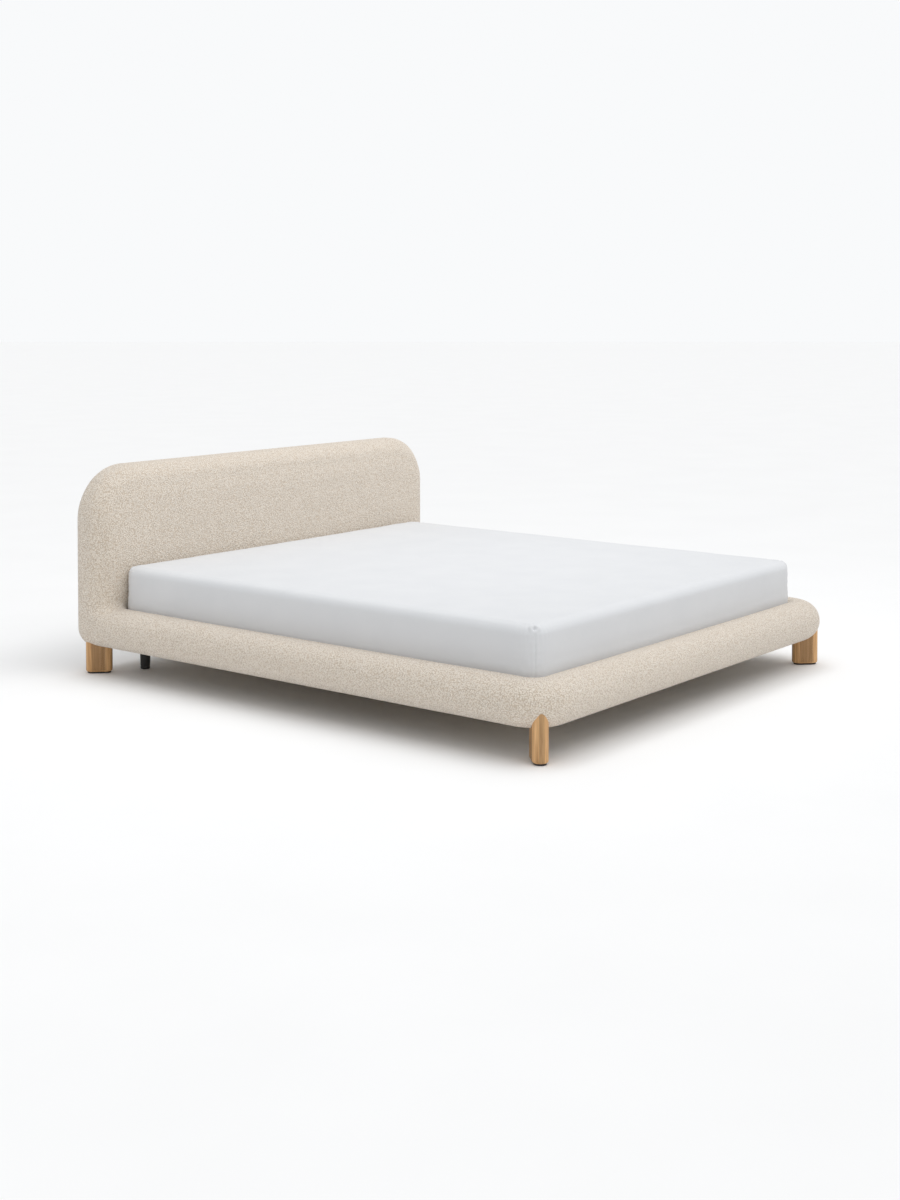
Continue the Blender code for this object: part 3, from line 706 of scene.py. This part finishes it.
def nubs(points):
    """Height of the fabric's loops at each point."""
    heights = np.empty(len(points))
    for index, point in enumerate((points / NUB_PITCH).tolist()):
        distances, _ = noise.voronoi(point)
        heights[index] = 1.0 - min(distances[0] / NUB_REACH, 1.0) ** 2
    return (heights - 0.5) * NUB_HEIGHT


def darts(points):
    """The stitched tucks that turn the cover round the headboard's upper corners."""
    x, y, z = points.T
    across = np.abs(x) - HALF_WIDTH + HEAD_TOP_RADIUS
    up = z - HEIGHT + HEAD_TOP_RADIUS
    off = (across - up) / math.sqrt(2)
    out = (across + up) / math.sqrt(2)
    inner = HEAD_TOP_RADIUS - HEAD_FRONT_ROUND - DART_LEAD
    shown = np.clip((out - inner) / DART_FADE, 0.0, 1.0) * (y < BACK_Y - DART_STOP)
    return -DART_DEPTH * bell(off, DART_HALF_WIDTH) * shown


def cut_piece(name, source, planes, material):
    """A closed piece of the padding: source cut by planes, each (point, outward normal)."""
    shape = bmesh.new()
    shape.from_mesh(source)
    for point, normal in planes:
        everything = shape.verts[:] + shape.edges[:] + shape.faces[:]
        done = bmesh.ops.bisect_plane(shape, geom=everything, plane_co=point, plane_no=normal,
                                      clear_outer=True, dist=1e-6)
        rim = [e for e in done["geom_cut"] if isinstance(e, bmesh.types.BMEdge) and e.is_boundary]
        if not rim:
            continue
        filled = bmesh.ops.triangle_fill(shape, use_beauty=True, edges=rim, normal=normal)
        for edge in rim:
            edge.smooth = False
        for face in filled["geom"]:
            if isinstance(face, bmesh.types.BMFace):
                face.smooth = False
    mesh = bpy.data.meshes.new(name)
    shape.to_mesh(mesh)
    shape.free()
    mesh.materials.append(material)
    return linked(name, mesh)


def upholstery(material):
    points, faces = field_mesh(upholstery_field, FINE_VOXEL)
    points = settle(upholstery_field, points, FINE_VOXEL)
    normals = gradient(upholstery_field, points)
    x, y, _ = points.T
    free = np.clip((plan_field(x, y) - PRESSED_PLAN) / PRESSED_FADE, PRESSED_NUBS, 1.0)
    free = np.where(y > RAIL_END_Y, 1.0, free)
    lift = nubs(points) * free + darts(points)
    lift += stuffing(points)
    points = points + normals * lift[:, None]
    whole = mesh_object("whole_upholstery", points, faces)
    head_end = Vector((0.0, RAIL_END_Y, 0.0))
    forward = Vector((0.0, 1.0, 0.0))
    mitres = {side: (Vector((side * CORNER_X, CORNER_Y, 0.0)),
                     Vector((side, 1.0, 0.0)).normalized()) for side in SUFFIX}
    pieces = [("headboard_padding", "headboard_upholstery", [(head_end, -forward)])]
    for side, suffix in SUFFIX.items():
        pivot, outward = mitres[side]
        middle = (Vector((0.0, 0.0, 0.0)), Vector((-side, 0.0, 0.0)))
        pieces.append((f"side_rail_padding_{suffix}", f"side_rail_bolster_{suffix}",
                       [(head_end, forward), (pivot, -outward), middle]))
    pieces.append(("foot_rail_padding", "foot_rail_bolster", list(mitres.values())))
    for name, node, planes in pieces:
        piece = cut_piece(name, whole.data, planes, material)
        assign(piece, "root", node)
    discard(whole)


# ---------------------------------------------------------------- mattress and sheet
MATTRESS_CORNER = 0.056          # plan radius
MATTRESS_EDGE = 0.034            # rounding of the top edge under the stretched sheet
MATTRESS_LOW_EDGE = 0.030
MATTRESS_INSET = 0.005           # of the mattress's skin behind the sheet
MATTRESS_MIDDLE = (mattress_low + mattress_high) / 2
MATTRESS_GRID = (0.009, 0.030)   # spacing of points near the edges and in the middle
SHEET_GRID = (0.0036, 0.024)
GRID_REACH = 0.11                # from an edge to where the spacing starts to grow
GRID_GROWTH = 1.18
SIDE_SPACING = 0.007
EDGE_POINTS = 11
SHEET_THICK = 0.0012
SHEET_PRESSURE = 1.2
SHEET_START = 0.002              # how much smaller the sheet is before it swells
SHEET_SMOOTHING = 3
HEM_HELD = 0.012
CROWN = 0.005                    # how much the filling lifts the middle of the top
CROWN_REACH = 0.300              # from the edge to where the top is fully crowned
SIDE_SWELL = 0.0010
SEAM_REACH = 0.090               # of the corner seam's marks round each corner
SEAM_TOP_GAP = 0.016             # between the seam's upper end and the top
SEAM_FADE = 0.020
SEAM_DEPTH = 0.0016
SEAM_WIDTH = 0.0040
SEAM_LIP = 0.0012
SEAM_LIP_PLACE = 0.0075
SEAM_LIP_WIDTH = 0.0045
PUCKER = 0.0009
PUCKER_PITCH = 0.024
PUCKER_REACH = 0.030
PINCH_DEPTH = 0.0070
PINCH_WIDTH = 0.0075
PINCH_RING = 0.0042
PINCH_RING_PLACE = 0.012
PINCH_RING_WIDTH = 0.0055
CREASE = 0.0013
CREASE_COUNT = 22.0              # radial creases in a full turn round the pinch
CREASE_REACH = 0.040
HEM_GATHER = 0.0008
HEM_PITCH = 0.017
HEM_REACH = 0.012
TOP_DEPTH = 0.012                # the cloth this far below the top has the top's slack
TOP_SLACK = 0.0016
SIDE_SLACK = 0.0010
SLACK_SCALE = (2.3, 2.3, 5.0)
UNDERSIDE_DEPTH = 0.004
TUFT_PITCH = 0.16
TUFT_HEIGHT = 0.003
TUFT_SHARPNESS = 0.08
TUFT_MARGIN = 0.06
STITCH_PITCH = 0.052
STITCH_DEPTH = 0.0016
STITCH_MARGIN = 0.030
PIPING_RADIUS = 0.0032
PIPING_SIDES = 10


def graded(length, fine, coarse):
    """Places from -length/2 to length/2, close together at both ends."""
    steps = []
    reached = 0.0
    step = fine
    while reached < length / 2:
        steps.append(step)
        reached += step
        if reached > GRID_REACH:
            step = min(step * GRID_GROWTH, coarse)
    scale = (length / 2) / reached
    places = np.concatenate([[0.0], np.cumsum(steps)]) * scale - length / 2
    return np.concatenate([places, -places[-2::-1]])


def box_surface(xs, ys, zs, bottom):
    """Quads over a box's top and sides (and bottom), sharing their edges."""
    index = {}
    points = []
    faces = []

    def at(i, j, k):
        key = (i, j, k)
        if key not in index:
            index[key] = len(points)
            points.append((xs[i], ys[j], zs[k]))
        return index[key]

    nx, ny, nz = len(xs) - 1, len(ys) - 1, len(zs) - 1
    for i in range(nx):
        for j in range(ny):
            faces.append((at(i, j, nz), at(i + 1, j, nz), at(i + 1, j + 1, nz), at(i, j + 1, nz)))
            if bottom:
                faces.append((at(i, j, 0), at(i, j + 1, 0), at(i + 1, j + 1, 0), at(i + 1, j, 0)))
    for k in range(nz):
        for i in range(nx):
            faces.append((at(i, 0, k), at(i + 1, 0, k), at(i + 1, 0, k + 1), at(i, 0, k + 1)))
            faces.append((at(i, ny, k), at(i, ny, k + 1), at(i + 1, ny, k + 1), at(i + 1, ny, k)))
        for j in range(ny):
            faces.append((at(0, j, k), at(0, j, k + 1), at(0, j + 1, k + 1), at(0, j + 1, k)))
            faces.append((at(nx, j, k), at(nx, j + 1, k), at(nx, j + 1, k + 1), at(nx, j, k + 1)))
    return np.array(points, dtype=float), np.array(faces)


def square_to_round(first, second):
    """Maps the corner square onto a quarter disc of the same reach."""
    reach = np.maximum(first, second)
    length = np.maximum(np.hypot(first, second), 1e-12)
    return reach * first / length, reach * second / length


def rounded(points, half, corner, top, edge, low=None, low_edge=0.0):
    """Rounds a box mesh: plan corners first, then the top (and bottom) edges."""
    x, y, z = points.T.copy()
    qx = np.maximum(np.abs(x) - (half[0] - corner), 0.0)
    qy = np.maximum(np.abs(y) - (half[1] - corner), 0.0)
    rx, ry = square_to_round(qx, qy)
    x = np.sign(x) * (np.minimum(np.abs(x), half[0] - corner) + rx)
    y = np.sign(y) * (np.minimum(np.abs(y), half[1] - corner) + ry)
    out = np.hypot(rx, ry)
    nx = np.sign(x) * np.where(out > 0, rx / np.maximum(out, 1e-12), 0.0)
    ny = np.sign(y) * np.where(out > 0, ry / np.maximum(out, 1e-12), 0.0)
    for level, radius, way in ((top, edge, 1), (low, low_edge, -1)):
        if not radius:
            continue
        beyond = np.maximum(out - (corner - radius), 0.0)
        over = np.maximum(way * (z - level) + radius, 0.0)
        new_out, new_over = square_to_round(beyond, over)
        both = over > 0
        x = np.where(both, x + nx * (new_out - beyond), x)
        y = np.where(both, y + ny * (new_out - beyond), y)
        z = np.where(both, z + way * (new_over - over), z)
    return np.stack([x, y, z], axis=1)


def side_heights(low, high):
    bend = high - MATTRESS_EDGE
    count = max(int(round((bend - low) / SIDE_SPACING)), 4)
    places = np.linspace(low, bend, count)
    return np.concatenate([places[:-1], np.linspace(bend, high, EDGE_POINTS)])


def cover_points(grow, z_low, z_high, grid, bottom, low_edge=0.0):
    """A rounded mattress-shaped surface, grown outwards from the mattress."""
    half = ((mattress_high.x - mattress_low.x) / 2 + grow,
            (mattress_high.y - mattress_low.y) / 2 + grow)
    points, faces = box_surface(graded(2 * half[0], *grid), graded(2 * half[1], *grid),
                                side_heights(z_low, z_high), bottom)
    points = rounded(points, half, MATTRESS_CORNER + grow, z_high, MATTRESS_EDGE + grow,
                     z_low, low_edge)
    return points, faces, half


def on_the_bed(name, points, faces, material):
    """A mesh made round the origin, moved to the mattress's place in plan."""
    return mesh_object(name, points + (MATTRESS_MIDDLE.x, MATTRESS_MIDDLE.y, 0.0), faces, material)


def fitted_sheet(material):
    """White fitted sheet: four sewn corners and an elastic lower edge."""
    grow = sheet_high.x - mattress_high.x - SHEET_THICK
    points, faces, half = cover_points(grow, sheet_low.z, sheet_high.z - SHEET_THICK,
                                       SHEET_GRID, False)
    normals = vertex_normals(points, faces)
    points = points + normals * filling_lift(points, faces, normals, half)[:, None]
    points = points + normals * sheet_wrinkles(points, half)[:, None]
    item = on_the_bed("fitted_sheet_cloth", points, faces, material)
    thick = item.modifiers.new("thickness", "SOLIDIFY")
    thick.thickness = SHEET_THICK
    thick.offset = 1.0
    assign(item, "mattress", "fitted_sheet")


def filling_lift(points, faces, normals, half):
    """How far the filling pushes the stretched sheet out, by cloth simulation."""
    pinned = points[:, 2] < sheet_low.z + HEM_HELD
    moved = swell(points - normals * SHEET_START, faces, pinned, SHEET_PRESSURE)
    lift = (moved * normals).sum(axis=1)
    lift = lift - np.median(lift[~pinned])
    inset = np.minimum(half[0] - np.abs(points[:, 0]), half[1] - np.abs(points[:, 1]))
    share = np.clip(inset / CROWN_REACH, 0.0, 1.0)
    limit = SIDE_SWELL + (CROWN - SIDE_SWELL) * share * share * (3.0 - 2.0 * share)
    lift = smoothed(np.clip(lift, -limit, limit), faces, SHEET_SMOOTHING)
    return np.where(pinned, 0.0, lift)


def sheet_wrinkles(points, half):
    """Corner seams, the pinch at their tops, a gathered hem and slack in the cloth."""
    x, y, z = points.T
    top = sheet_high.z
    height = z - sheet_low.z
    dx = np.abs(x) - (half[0] - MATTRESS_CORNER * BEVEL)
    dy = np.abs(y) - (half[1] - MATTRESS_CORNER * BEVEL)
    seam_off = (dx - dy) / math.sqrt(2)
    on_side = np.clip((top - SEAM_TOP_GAP - z) / SEAM_FADE, 0.0, 1.0)
    on_side = on_side * (np.hypot(dx, dy) < SEAM_REACH)
    lips = bell(np.abs(seam_off) - SEAM_LIP_PLACE, SEAM_LIP_WIDTH)
    lift = (SEAM_LIP * lips - SEAM_DEPTH * bell(seam_off, SEAM_WIDTH)) * on_side
    pucker = np.sin(z * 2 * math.pi / PUCKER_PITCH + 1.3 * np.sin(z * 61.0) + 20.0 * seam_off)
    lift += PUCKER * pucker * np.exp(-np.abs(seam_off) / PUCKER_REACH) * on_side
    bend = MATTRESS_EDGE * BEVEL
    px, py, pz = dx + bend * math.sqrt(0.5), dy + bend * math.sqrt(0.5), z - (top - bend)
    near = np.sqrt(px * px + py * py + pz * pz)
    turn = np.arctan2(pz * 1.4, seam_off)
    ring = bell(near - PINCH_RING_PLACE, PINCH_RING_WIDTH) * (1.0 + 0.45 * np.cos(2 * turn))
    lift += PINCH_RING * ring - PINCH_DEPTH * bell(near, PINCH_WIDTH)
    around = np.arctan2(dy + 0.05, dx + 0.05)
    creases = np.cos(around * CREASE_COUNT + 0.8 * np.sin(near * 60.0))
    fade = np.exp(-near / CREASE_REACH) * np.clip(near / PINCH_RING_PLACE, 0.0, 1.0)
    lift += CREASE * creases * fade
    gather = np.sin((x + y) * 2 * math.pi / HEM_PITCH) * np.exp(-height / HEM_REACH)
    lift += HEM_GATHER * (gather - np.exp(-2 * height / HEM_REACH))
    slack = np.empty(len(points))
    for index, point in enumerate((points * SLACK_SCALE).tolist()):
        slack[index] = noise.noise(point) + 0.5 * noise.noise([3.1 * c + 7.0 for c in point])
    return lift + slack * np.where(z > top - TOP_DEPTH, TOP_SLACK, SIDE_SLACK)


def mattress_body(material):
    """The mattress, with a quilted underside and stitched sides."""
    points, faces, half = cover_points(-MATTRESS_INSET, mattress_low.z,
                                       mattress_high.z - MATTRESS_INSET, MATTRESS_GRID,
                                       True, MATTRESS_LOW_EDGE)
    normals = vertex_normals(points, faces)
    x, y, z = points.T
    under = z < mattress_low.z + UNDERSIDE_DEPTH
    inner = np.minimum(half[0] - np.abs(x), half[1] - np.abs(y)) > TUFT_MARGIN
    wave = math.pi / TUFT_PITCH
    diamond = np.abs(np.sin((x + y) * wave) * np.sin((x - y) * wave))
    tuft = TUFT_HEIGHT * np.exp(-diamond / TUFT_SHARPNESS)
    points[:, 2] += np.where(under & inner, tuft, 0.0)
    side = (z > mattress_low.z + STITCH_MARGIN) & (z < mattress_high.z - STITCH_MARGIN)
    rows = np.sin(z * math.pi / STITCH_PITCH) ** 8
    points -= normals * (STITCH_DEPTH * rows * side)[:, None]
    item = on_the_bed("mattress_body", points, faces, material)
    assign(item, "mattress", "mattress")


def plan_loop(half, corner, spacing, steps=12):
    """Points round a rounded rectangle, with their outward normals."""
    centres = [(sx * (half[0] - corner), sy * (half[1] - corner))
               for sx, sy in ((1, 1), (-1, 1), (-1, -1), (1, -1))]
    made = []
    for quadrant, centre in enumerate(centres):
        for step in range(steps + 1):
            turn = (quadrant + step / steps) * math.pi / 2
            normal = (math.cos(turn), math.sin(turn))
            made.append((centre[0] + corner * normal[0], centre[1] + corner * normal[1], *normal))
        following = centres[(quadrant + 1) % 4]
        run = (following[0] - centre[0], following[1] - centre[1])
        start = made[-1]
        count = int(math.hypot(*run) / spacing)
        for step in range(1, count):
            share = step / count
            made.append((start[0] + share * run[0], start[1] + share * run[1], *normal))
    return made


def piping(material):
    """A cord sewn round the mattress's lower edge."""
    half = ((mattress_high.x - mattress_low.x) / 2, (mattress_high.y - mattress_low.y) / 2)
    reach = MATTRESS_INSET + MATTRESS_LOW_EDGE * BEVEL
    loop = plan_loop([size - reach for size in half], MATTRESS_CORNER - reach, 0.02)
    z = mattress_low.z + MATTRESS_LOW_EDGE * BEVEL
    points = []
    for px, py, nx, ny in loop:
        for k in range(PIPING_SIDES):
            turn = 2 * math.pi * k / PIPING_SIDES
            out = PIPING_RADIUS * math.cos(turn)
            points.append((px + nx * out, py + ny * out, z + PIPING_RADIUS * math.sin(turn)))
    starts = range(0, len(points), PIPING_SIDES)
    faces = bands([((start + PIPING_SIDES) % len(points), start) for start in starts],
                  PIPING_SIDES)
    item = on_the_bed("mattress_piping", np.array(points), faces, material)
    assign(item, "mattress")


# ---------------------------------------------------------------- legs
FOOT_SHARE = 0.845               # a black leg's radius at its foot, as a share of its top's
FOOT_COLLAR = 0.012              # height of the glide pushed onto its foot


def lofted(name, loops, material):
    """Closed solid through loops of equal length, with flat ends."""
    size = len(loops[0])
    points = [point for loop in loops for point in loop]
    starts = range(0, len(points) - size, size)
    faces = [range(size)[::-1], range(len(points) - size, len(points))]
    faces += bands([(start, start + size) for start in starts], size)
    item = mesh_object(name, points, faces, material)
    item.data.set_sharp_from_angle(angle=math.radians(50))
    return item


def stadium_loop(shrink, z, steps=20):
    """A leg's plan outline: straight sides between two half circles."""
    radius = LEG_HALF_THICK - shrink
    reach = LEG_HALF_LENGTH - LEG_HALF_THICK
    turns = [math.radians(180 * step / steps - 90) for step in range(steps + 1)]
    return [(sign * (reach + radius * math.cos(turn)), sign * radius * math.sin(turn), z)
            for sign in (1, -1) for turn in turns]


def eased(low, high, low_radius, high_radius, steps=6):
    """(shrink, z) pairs of a column with rounded lower and upper edges."""
    turns = [math.pi / 2 * step / steps for step in range(steps + 1)]
    lower = [(low_radius * (1 - math.sin(turn)), low + low_radius * (1 - math.cos(turn)))
             for turn in turns]
    upper = [(high_radius * (1 - math.cos(turn)), high - high_radius * (1 - math.sin(turn)))
             for turn in turns]
    return lower + upper


def corner_legs(material):
    for side, end in CORNERS:
        node = f"{END_NAME[end]}_leg_{SUFFIX[side]}"
        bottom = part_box(node)[0][2]
        (centre_x, centre_y), heading, top = leg_frame(side, end)
        loops = [stadium_loop(shrink, z - bottom)
                 for shrink, z in eased(bottom, top, LEG_FOOT_ROUND, LEG_TOP_ROUND)]
        item = lofted(f"oak_{node}", loops, material)
        item.location = (centre_x, centre_y, bottom)
        item.rotation_euler = (0.0, 0.0, heading)
        bpy.context.view_layer.update()
        assign(item, "root", node)


def turned(name, profile, material, place, steps=40):
    """Solid of revolution; profile is (radius, z) from the bottom up."""
    turns = [2 * math.pi * k / steps for k in range(steps)]
    loops = [[(place[0] + radius * math.cos(turn), place[1] + radius * math.sin(turn), z)
              for turn in turns] for radius, z in profile]
    return lofted(name, loops, material)


def support_legs(material):
    """Slim tapered legs, each with a glide at its foot and a rim at its top."""
    nodes = ["head_support_leg_left", "head_support_leg_right"]
    nodes += [f"beam_support_leg_{k}" for k in (1, 2, 3)]
    for node in nodes:
        low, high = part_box(node)
        bottom, top = low[2], high[2]
        top_radius = (high[0] - low[0]) / 2
        foot_radius = top_radius * FOOT_SHARE
        collar = bottom + FOOT_COLLAR
        slope = (top_radius - foot_radius) / (top - bottom)
        profile = [
            (foot_radius - 0.0025, bottom), (foot_radius - 0.0008, bottom + 0.0008),
            (foot_radius, bottom + 0.0025), (foot_radius, collar - 0.0015),
            (foot_radius - 0.0015, collar - 0.0008), (foot_radius - 0.0015, collar + 0.0008),
            (foot_radius + 0.0002, collar + 0.0016),
        ]
        for share in (0.3, 0.6, 0.9):
            z = collar + share * (top - collar - 0.006)
            profile.append((foot_radius + slope * (z - bottom), z))
        profile += [(top_radius - 0.0012, top - 0.0062), (top_radius, top - 0.0052),
                    (top_radius, top - 0.0010), (top_radius - 0.0010, top)]
        middle = ((low[0] + high[0]) / 2, (low[1] + high[1]) / 2)
        item = turned(f"{node}_turned", profile, material, middle)
        assign(item, "root", node)


# ---------------------------------------------------------------- fasteners
SCREW_HEAD = [(0.0045, -0.0004), (0.0045, 0.0008), (0.0038, 0.0020), (0.0022, 0.0026),
              (0.0019, 0.0026), (0.0017, 0.0012)]
WASHER = [(0.0090, -0.0004), (0.0090, 0.0014), (0.0086, 0.0016)]
HEXAGON = [(0.0075, 0.0014), (0.0075, 0.0062), (0.0066, 0.0070)]
LEDGE_SCREW_SPACING = 0.30
LEDGE_SCREW_END = 0.06           # first screw from the ledge's end
BRACKET_BOLTS = (0.018, 0.052)   # from the end of a corner strap's straight part
CROSS_BOARD_BOLTS = (0.24, 0.62)  # from the bed's middle
STRAP_THICK = 0.004


def studs(name, spots, profile, material, sides=20):
    """Round or six-sided heads; a spot is (place, outward direction), a profile (radius, height)."""
    points = []
    faces = []
    turns = [2 * math.pi * k / sides for k in range(sides)]
    for place, outward in spots:
        facing = Vector(outward).to_track_quat("Z", "Y")
        first = len(points)
        for radius, height in profile:
            for turn in turns:
                offset = Vector((radius * math.cos(turn), radius * math.sin(turn), height))
                points.append(tuple(Vector(place) + facing @ offset))
        last = len(points) - sides
        faces += [range(first, first + sides)[::-1], range(last, last + sides)]
        faces += bands([(ring, ring + sides) for ring in range(first, last, sides)], sides)
    item = mesh_object(name, points, faces, material)
    item.data.set_sharp_from_angle(angle=math.radians(40))
    assign(item, "root")


def fasteners(steel):
    """Screws of the slat ledges, and bolts of the corner straps and the cross board."""
    screws = []
    bolts = []
    for side, suffix in SUFFIX.items():
        low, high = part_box(f"slat_ledge_{suffix}")
        face_x = high[0] if side < 0 else low[0]
        middle_z = (low[2] + high[2]) / 2
        first = low[1] + LEDGE_SCREW_END
        count = int((high[1] - LEDGE_SCREW_END - first) / LEDGE_SCREW_SPACING) + 1
        screws += [((face_x, first + k * LEDGE_SCREW_SPACING, middle_z), (-side, 0, 0))
                   for k in range(count)]
        low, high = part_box(f"foot_corner_bracket_{suffix}")
        near, far = (high[0], low[0]) if side > 0 else (low[0], high[0])
        middle_z = (low[2] + high[2]) / 2
        for reach in BRACKET_BOLTS:
            bolts.append(((near - side * STRAP_THICK, high[1] - reach, middle_z), (-side, 0, 0)))
            bolts.append(((far + side * reach, low[1] + STRAP_THICK, middle_z), (0, 1, 0)))
        low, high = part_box("head_cross_board")
        bolts += [((side * x, low[1], (low[2] + high[2]) / 2), (0, -1, 0))
                  for x in CROSS_BOARD_BOLTS]
    studs("ledge_screws", screws, SCREW_HEAD, steel)
    studs("frame_bolt_washers", bolts, WASHER, steel)
    studs("frame_bolt_heads", bolts, HEXAGON, steel, 6)


# ---------------------------------------------------------------- back of the headboard
LINING_MARGIN = 0.012            # of the lining beyond the hollow that it covers
LINING_LOW_CORNER = 0.020
LINING_POINTS = 260
LINING_Y = BACK_Y + 0.0007
LINING_HEM = [(0.0, 0.0), (0.0, 0.0012), (0.0010, 0.0020), (0.0060, 0.0022), (0.0110, 0.0018),
              (0.0125, 0.0010), (0.0200, 0.0008)]  # (distance in from the edge, height)
STAPLE_LINE = 0.0062             # from the lining's edge
STAPLE_EVERY = 3                 # points of the outline
STAPLE_HALF = (0.0055, 0.0006)
STAPLE_HEIGHTS = (0.0018, 0.0030)
STAPLE_CORNERS = [(-1, -1), (1, -1), (1, 1), (-1, 1)]


def lining_outline(shrink, steps=16):
    """Evenly spaced (x, z) points of the lining's edge, moved inwards."""
    half = POCKET_HALF_WIDTH + LINING_MARGIN
    low = POCKET_FLOOR - LINING_MARGIN
    high = POCKET_TOP + LINING_MARGIN
    corner = HEAD_TOP_RADIUS - POCKET_MARGIN + LINING_MARGIN
    loop = []
    for sx, sz, radius, start in ((1, 1, corner, 0), (-1, 1, corner, 90),
                                  (-1, -1, LINING_LOW_CORNER, 180), (1, -1, LINING_LOW_CORNER, 270)):
        centre_x = sx * (half - radius)
        centre_z = (high if sz > 0 else low) - sz * radius
        for step in range(steps + 1):
            turn = math.radians(start + 90 * step / steps)
            loop.append((centre_x + (radius - shrink) * math.cos(turn),
                         centre_z + (radius - shrink) * math.sin(turn)))
    return resampled(loop, LINING_POINTS)


def resampled(loop, count):
    """The same closed outline with evenly spaced points."""
    points = np.array(loop + [loop[0]])
    runs = np.concatenate([[0.0], np.cumsum(np.linalg.norm(np.diff(points, axis=0), axis=1))])
    wanted = np.linspace(0.0, runs[-1], count, endpoint=False)
    return [(float(np.interp(w, runs, points[:, 0])), float(np.interp(w, runs, points[:, 1])))
            for w in wanted]


def back_lining(material):
    """Lining cloth over the back opening, with a turned-in hem."""
    loops = [[(x, LINING_Y + lift, z) for x, z in lining_outline(shrink)]
             for shrink, lift in LINING_HEM]
    item = lofted("headboard_back_lining", loops, material)
    assign(item, "root", "headboard_back_cover")


def staples(steel):
    """Staples through the lining's hem."""
    track = lining_outline(STAPLE_LINE)
    points = []
    faces = []
    for start in range(0, len(track), STAPLE_EVERY):
        middle = Vector(track[start])
        along = (Vector(track[(start + 1) % len(track)]) - middle).normalized()
        across = Vector((-along.y, along.x))
        first = len(points)
        for lift in STAPLE_HEIGHTS:
            for a, b in STAPLE_CORNERS:
                place = middle + along * (a * STAPLE_HALF[0]) + across * (b * STAPLE_HALF[1])
                points.append((place.x, LINING_Y + lift, place.y))
        faces += [range(first, first + 4), range(first + 4, first + 8)[::-1]]
        faces += [quad[::-1] for quad in bands([(first, first + 4)], 4)]
    row = mesh_object("back_lining_staples", points, faces, steel, smooth=False)
    assign(row, "root")


# ---------------------------------------------------------------- studio
CAMERA_PLACE = (-5.330, -4.133, 1.475)
CAMERA_HEADING = 51.486          # degrees clockwise from +Y
CAMERA_PITCH = 2.0               # degrees below the horizon
CAMERA_LENS = 50.71
CAMERA_SHIFT = (0.0107, -0.2005)
CAMERA_FAR = 60.0
AMBIENT = 0.60
AMBIENT_COLOUR = (0.98, 0.99, 1.0)
BACKDROP = 0.965                 # how bright the background looks to the camera
OVERHEAD = 1.38
OVERHEAD_TOWARDS = (-0.12, 0.22, -1.0)
OVERHEAD_ANGLE = 70.0            # degrees; wide, so that its shadow is soft
SOFTBOX = 12.0
SOFTBOX_PLACE = (0.2, -0.45, 2.5)
SOFTBOX_TARGET = (0.1, 0.95, 0.45)
SOFTBOX_SIZE = (2.4, 1.2)
FLOOR_REACH = 60.0
FLOOR_DROP = 0.0005              # of the floor below the bed's feet, so that no faces coincide


def camera():
    data = bpy.data.cameras.new("camera")
    data.sensor_width = 36.0
    data.lens = CAMERA_LENS
    data.shift_x, data.shift_y = CAMERA_SHIFT
    data.clip_end = CAMERA_FAR
    item = linked("camera", data)
    item.location = CAMERA_PLACE
    item.rotation_euler = (math.radians(90 - CAMERA_PITCH), 0.0, -math.radians(CAMERA_HEADING))
    bpy.context.scene.camera = item


def aimed(item, towards):
    item.rotation_euler = Vector(towards).to_track_quat("-Z", "Y").to_euler()


def lights():
    """A wide distant light from above and a softbox over the mattress's foot end."""
    data = bpy.data.lights.new("overhead", "SUN")
    data.energy = OVERHEAD
    data.angle = math.radians(OVERHEAD_ANGLE)
    aimed(linked("overhead", data), OVERHEAD_TOWARDS)
    data = bpy.data.lights.new("over_the_mattress", "AREA")
    data.shape = "RECTANGLE"
    data.size, data.size_y = SOFTBOX_SIZE
    data.energy = SOFTBOX
    item = linked("over_the_mattress", data)
    item.location = SOFTBOX_PLACE
    aimed(item, Vector(SOFTBOX_TARGET) - Vector(SOFTBOX_PLACE))


def surroundings():
    """Even light from all sides, which the camera sees as a paler background."""
    world = bpy.data.worlds.new("studio")
    world.use_nodes = True
    tree = world.node_tree
    background = tree.nodes["Background"]
    background.inputs["Color"].default_value = (*AMBIENT_COLOUR, 1.0)
    seen = tree.nodes.new("ShaderNodeLightPath")
    level = tree.nodes.new("ShaderNodeMapRange")
    level.inputs["To Min"].default_value = AMBIENT
    level.inputs["To Max"].default_value = BACKDROP
    tree.links.new(seen.outputs["Is Camera Ray"], level.inputs["Value"])
    tree.links.new(level.outputs["Result"], background.inputs["Strength"])
    bpy.context.scene.world = world


def studio():
    corners = [(x * FLOOR_REACH, y * FLOOR_REACH, LOW.z - FLOOR_DROP)
               for x, y in ((-1, -1), (1, -1), (1, 1), (-1, 1))]
    mesh_object("studio_floor", corners, [(0, 1, 2, 3)], floor_paint())
    surroundings()
    lights()
    bpy.context.scene.view_settings.view_transform = "Standard"
    bpy.context.scene.view_settings.look = "None"


def build():
    materials = make_materials()
    dress_nodes(materials)
    camera()
    studio()
    upholstery(materials["boucle"])
    mattress_body(materials["ticking"])
    piping(materials["ticking"])
    fitted_sheet(materials["white_cotton"])
    corner_legs(materials["oak"])
    support_legs(materials["black_plastic"])
    fasteners(materials["zinc_steel"])
    back_lining(materials["lining"])
    staples(materials["zinc_steel"])


build()
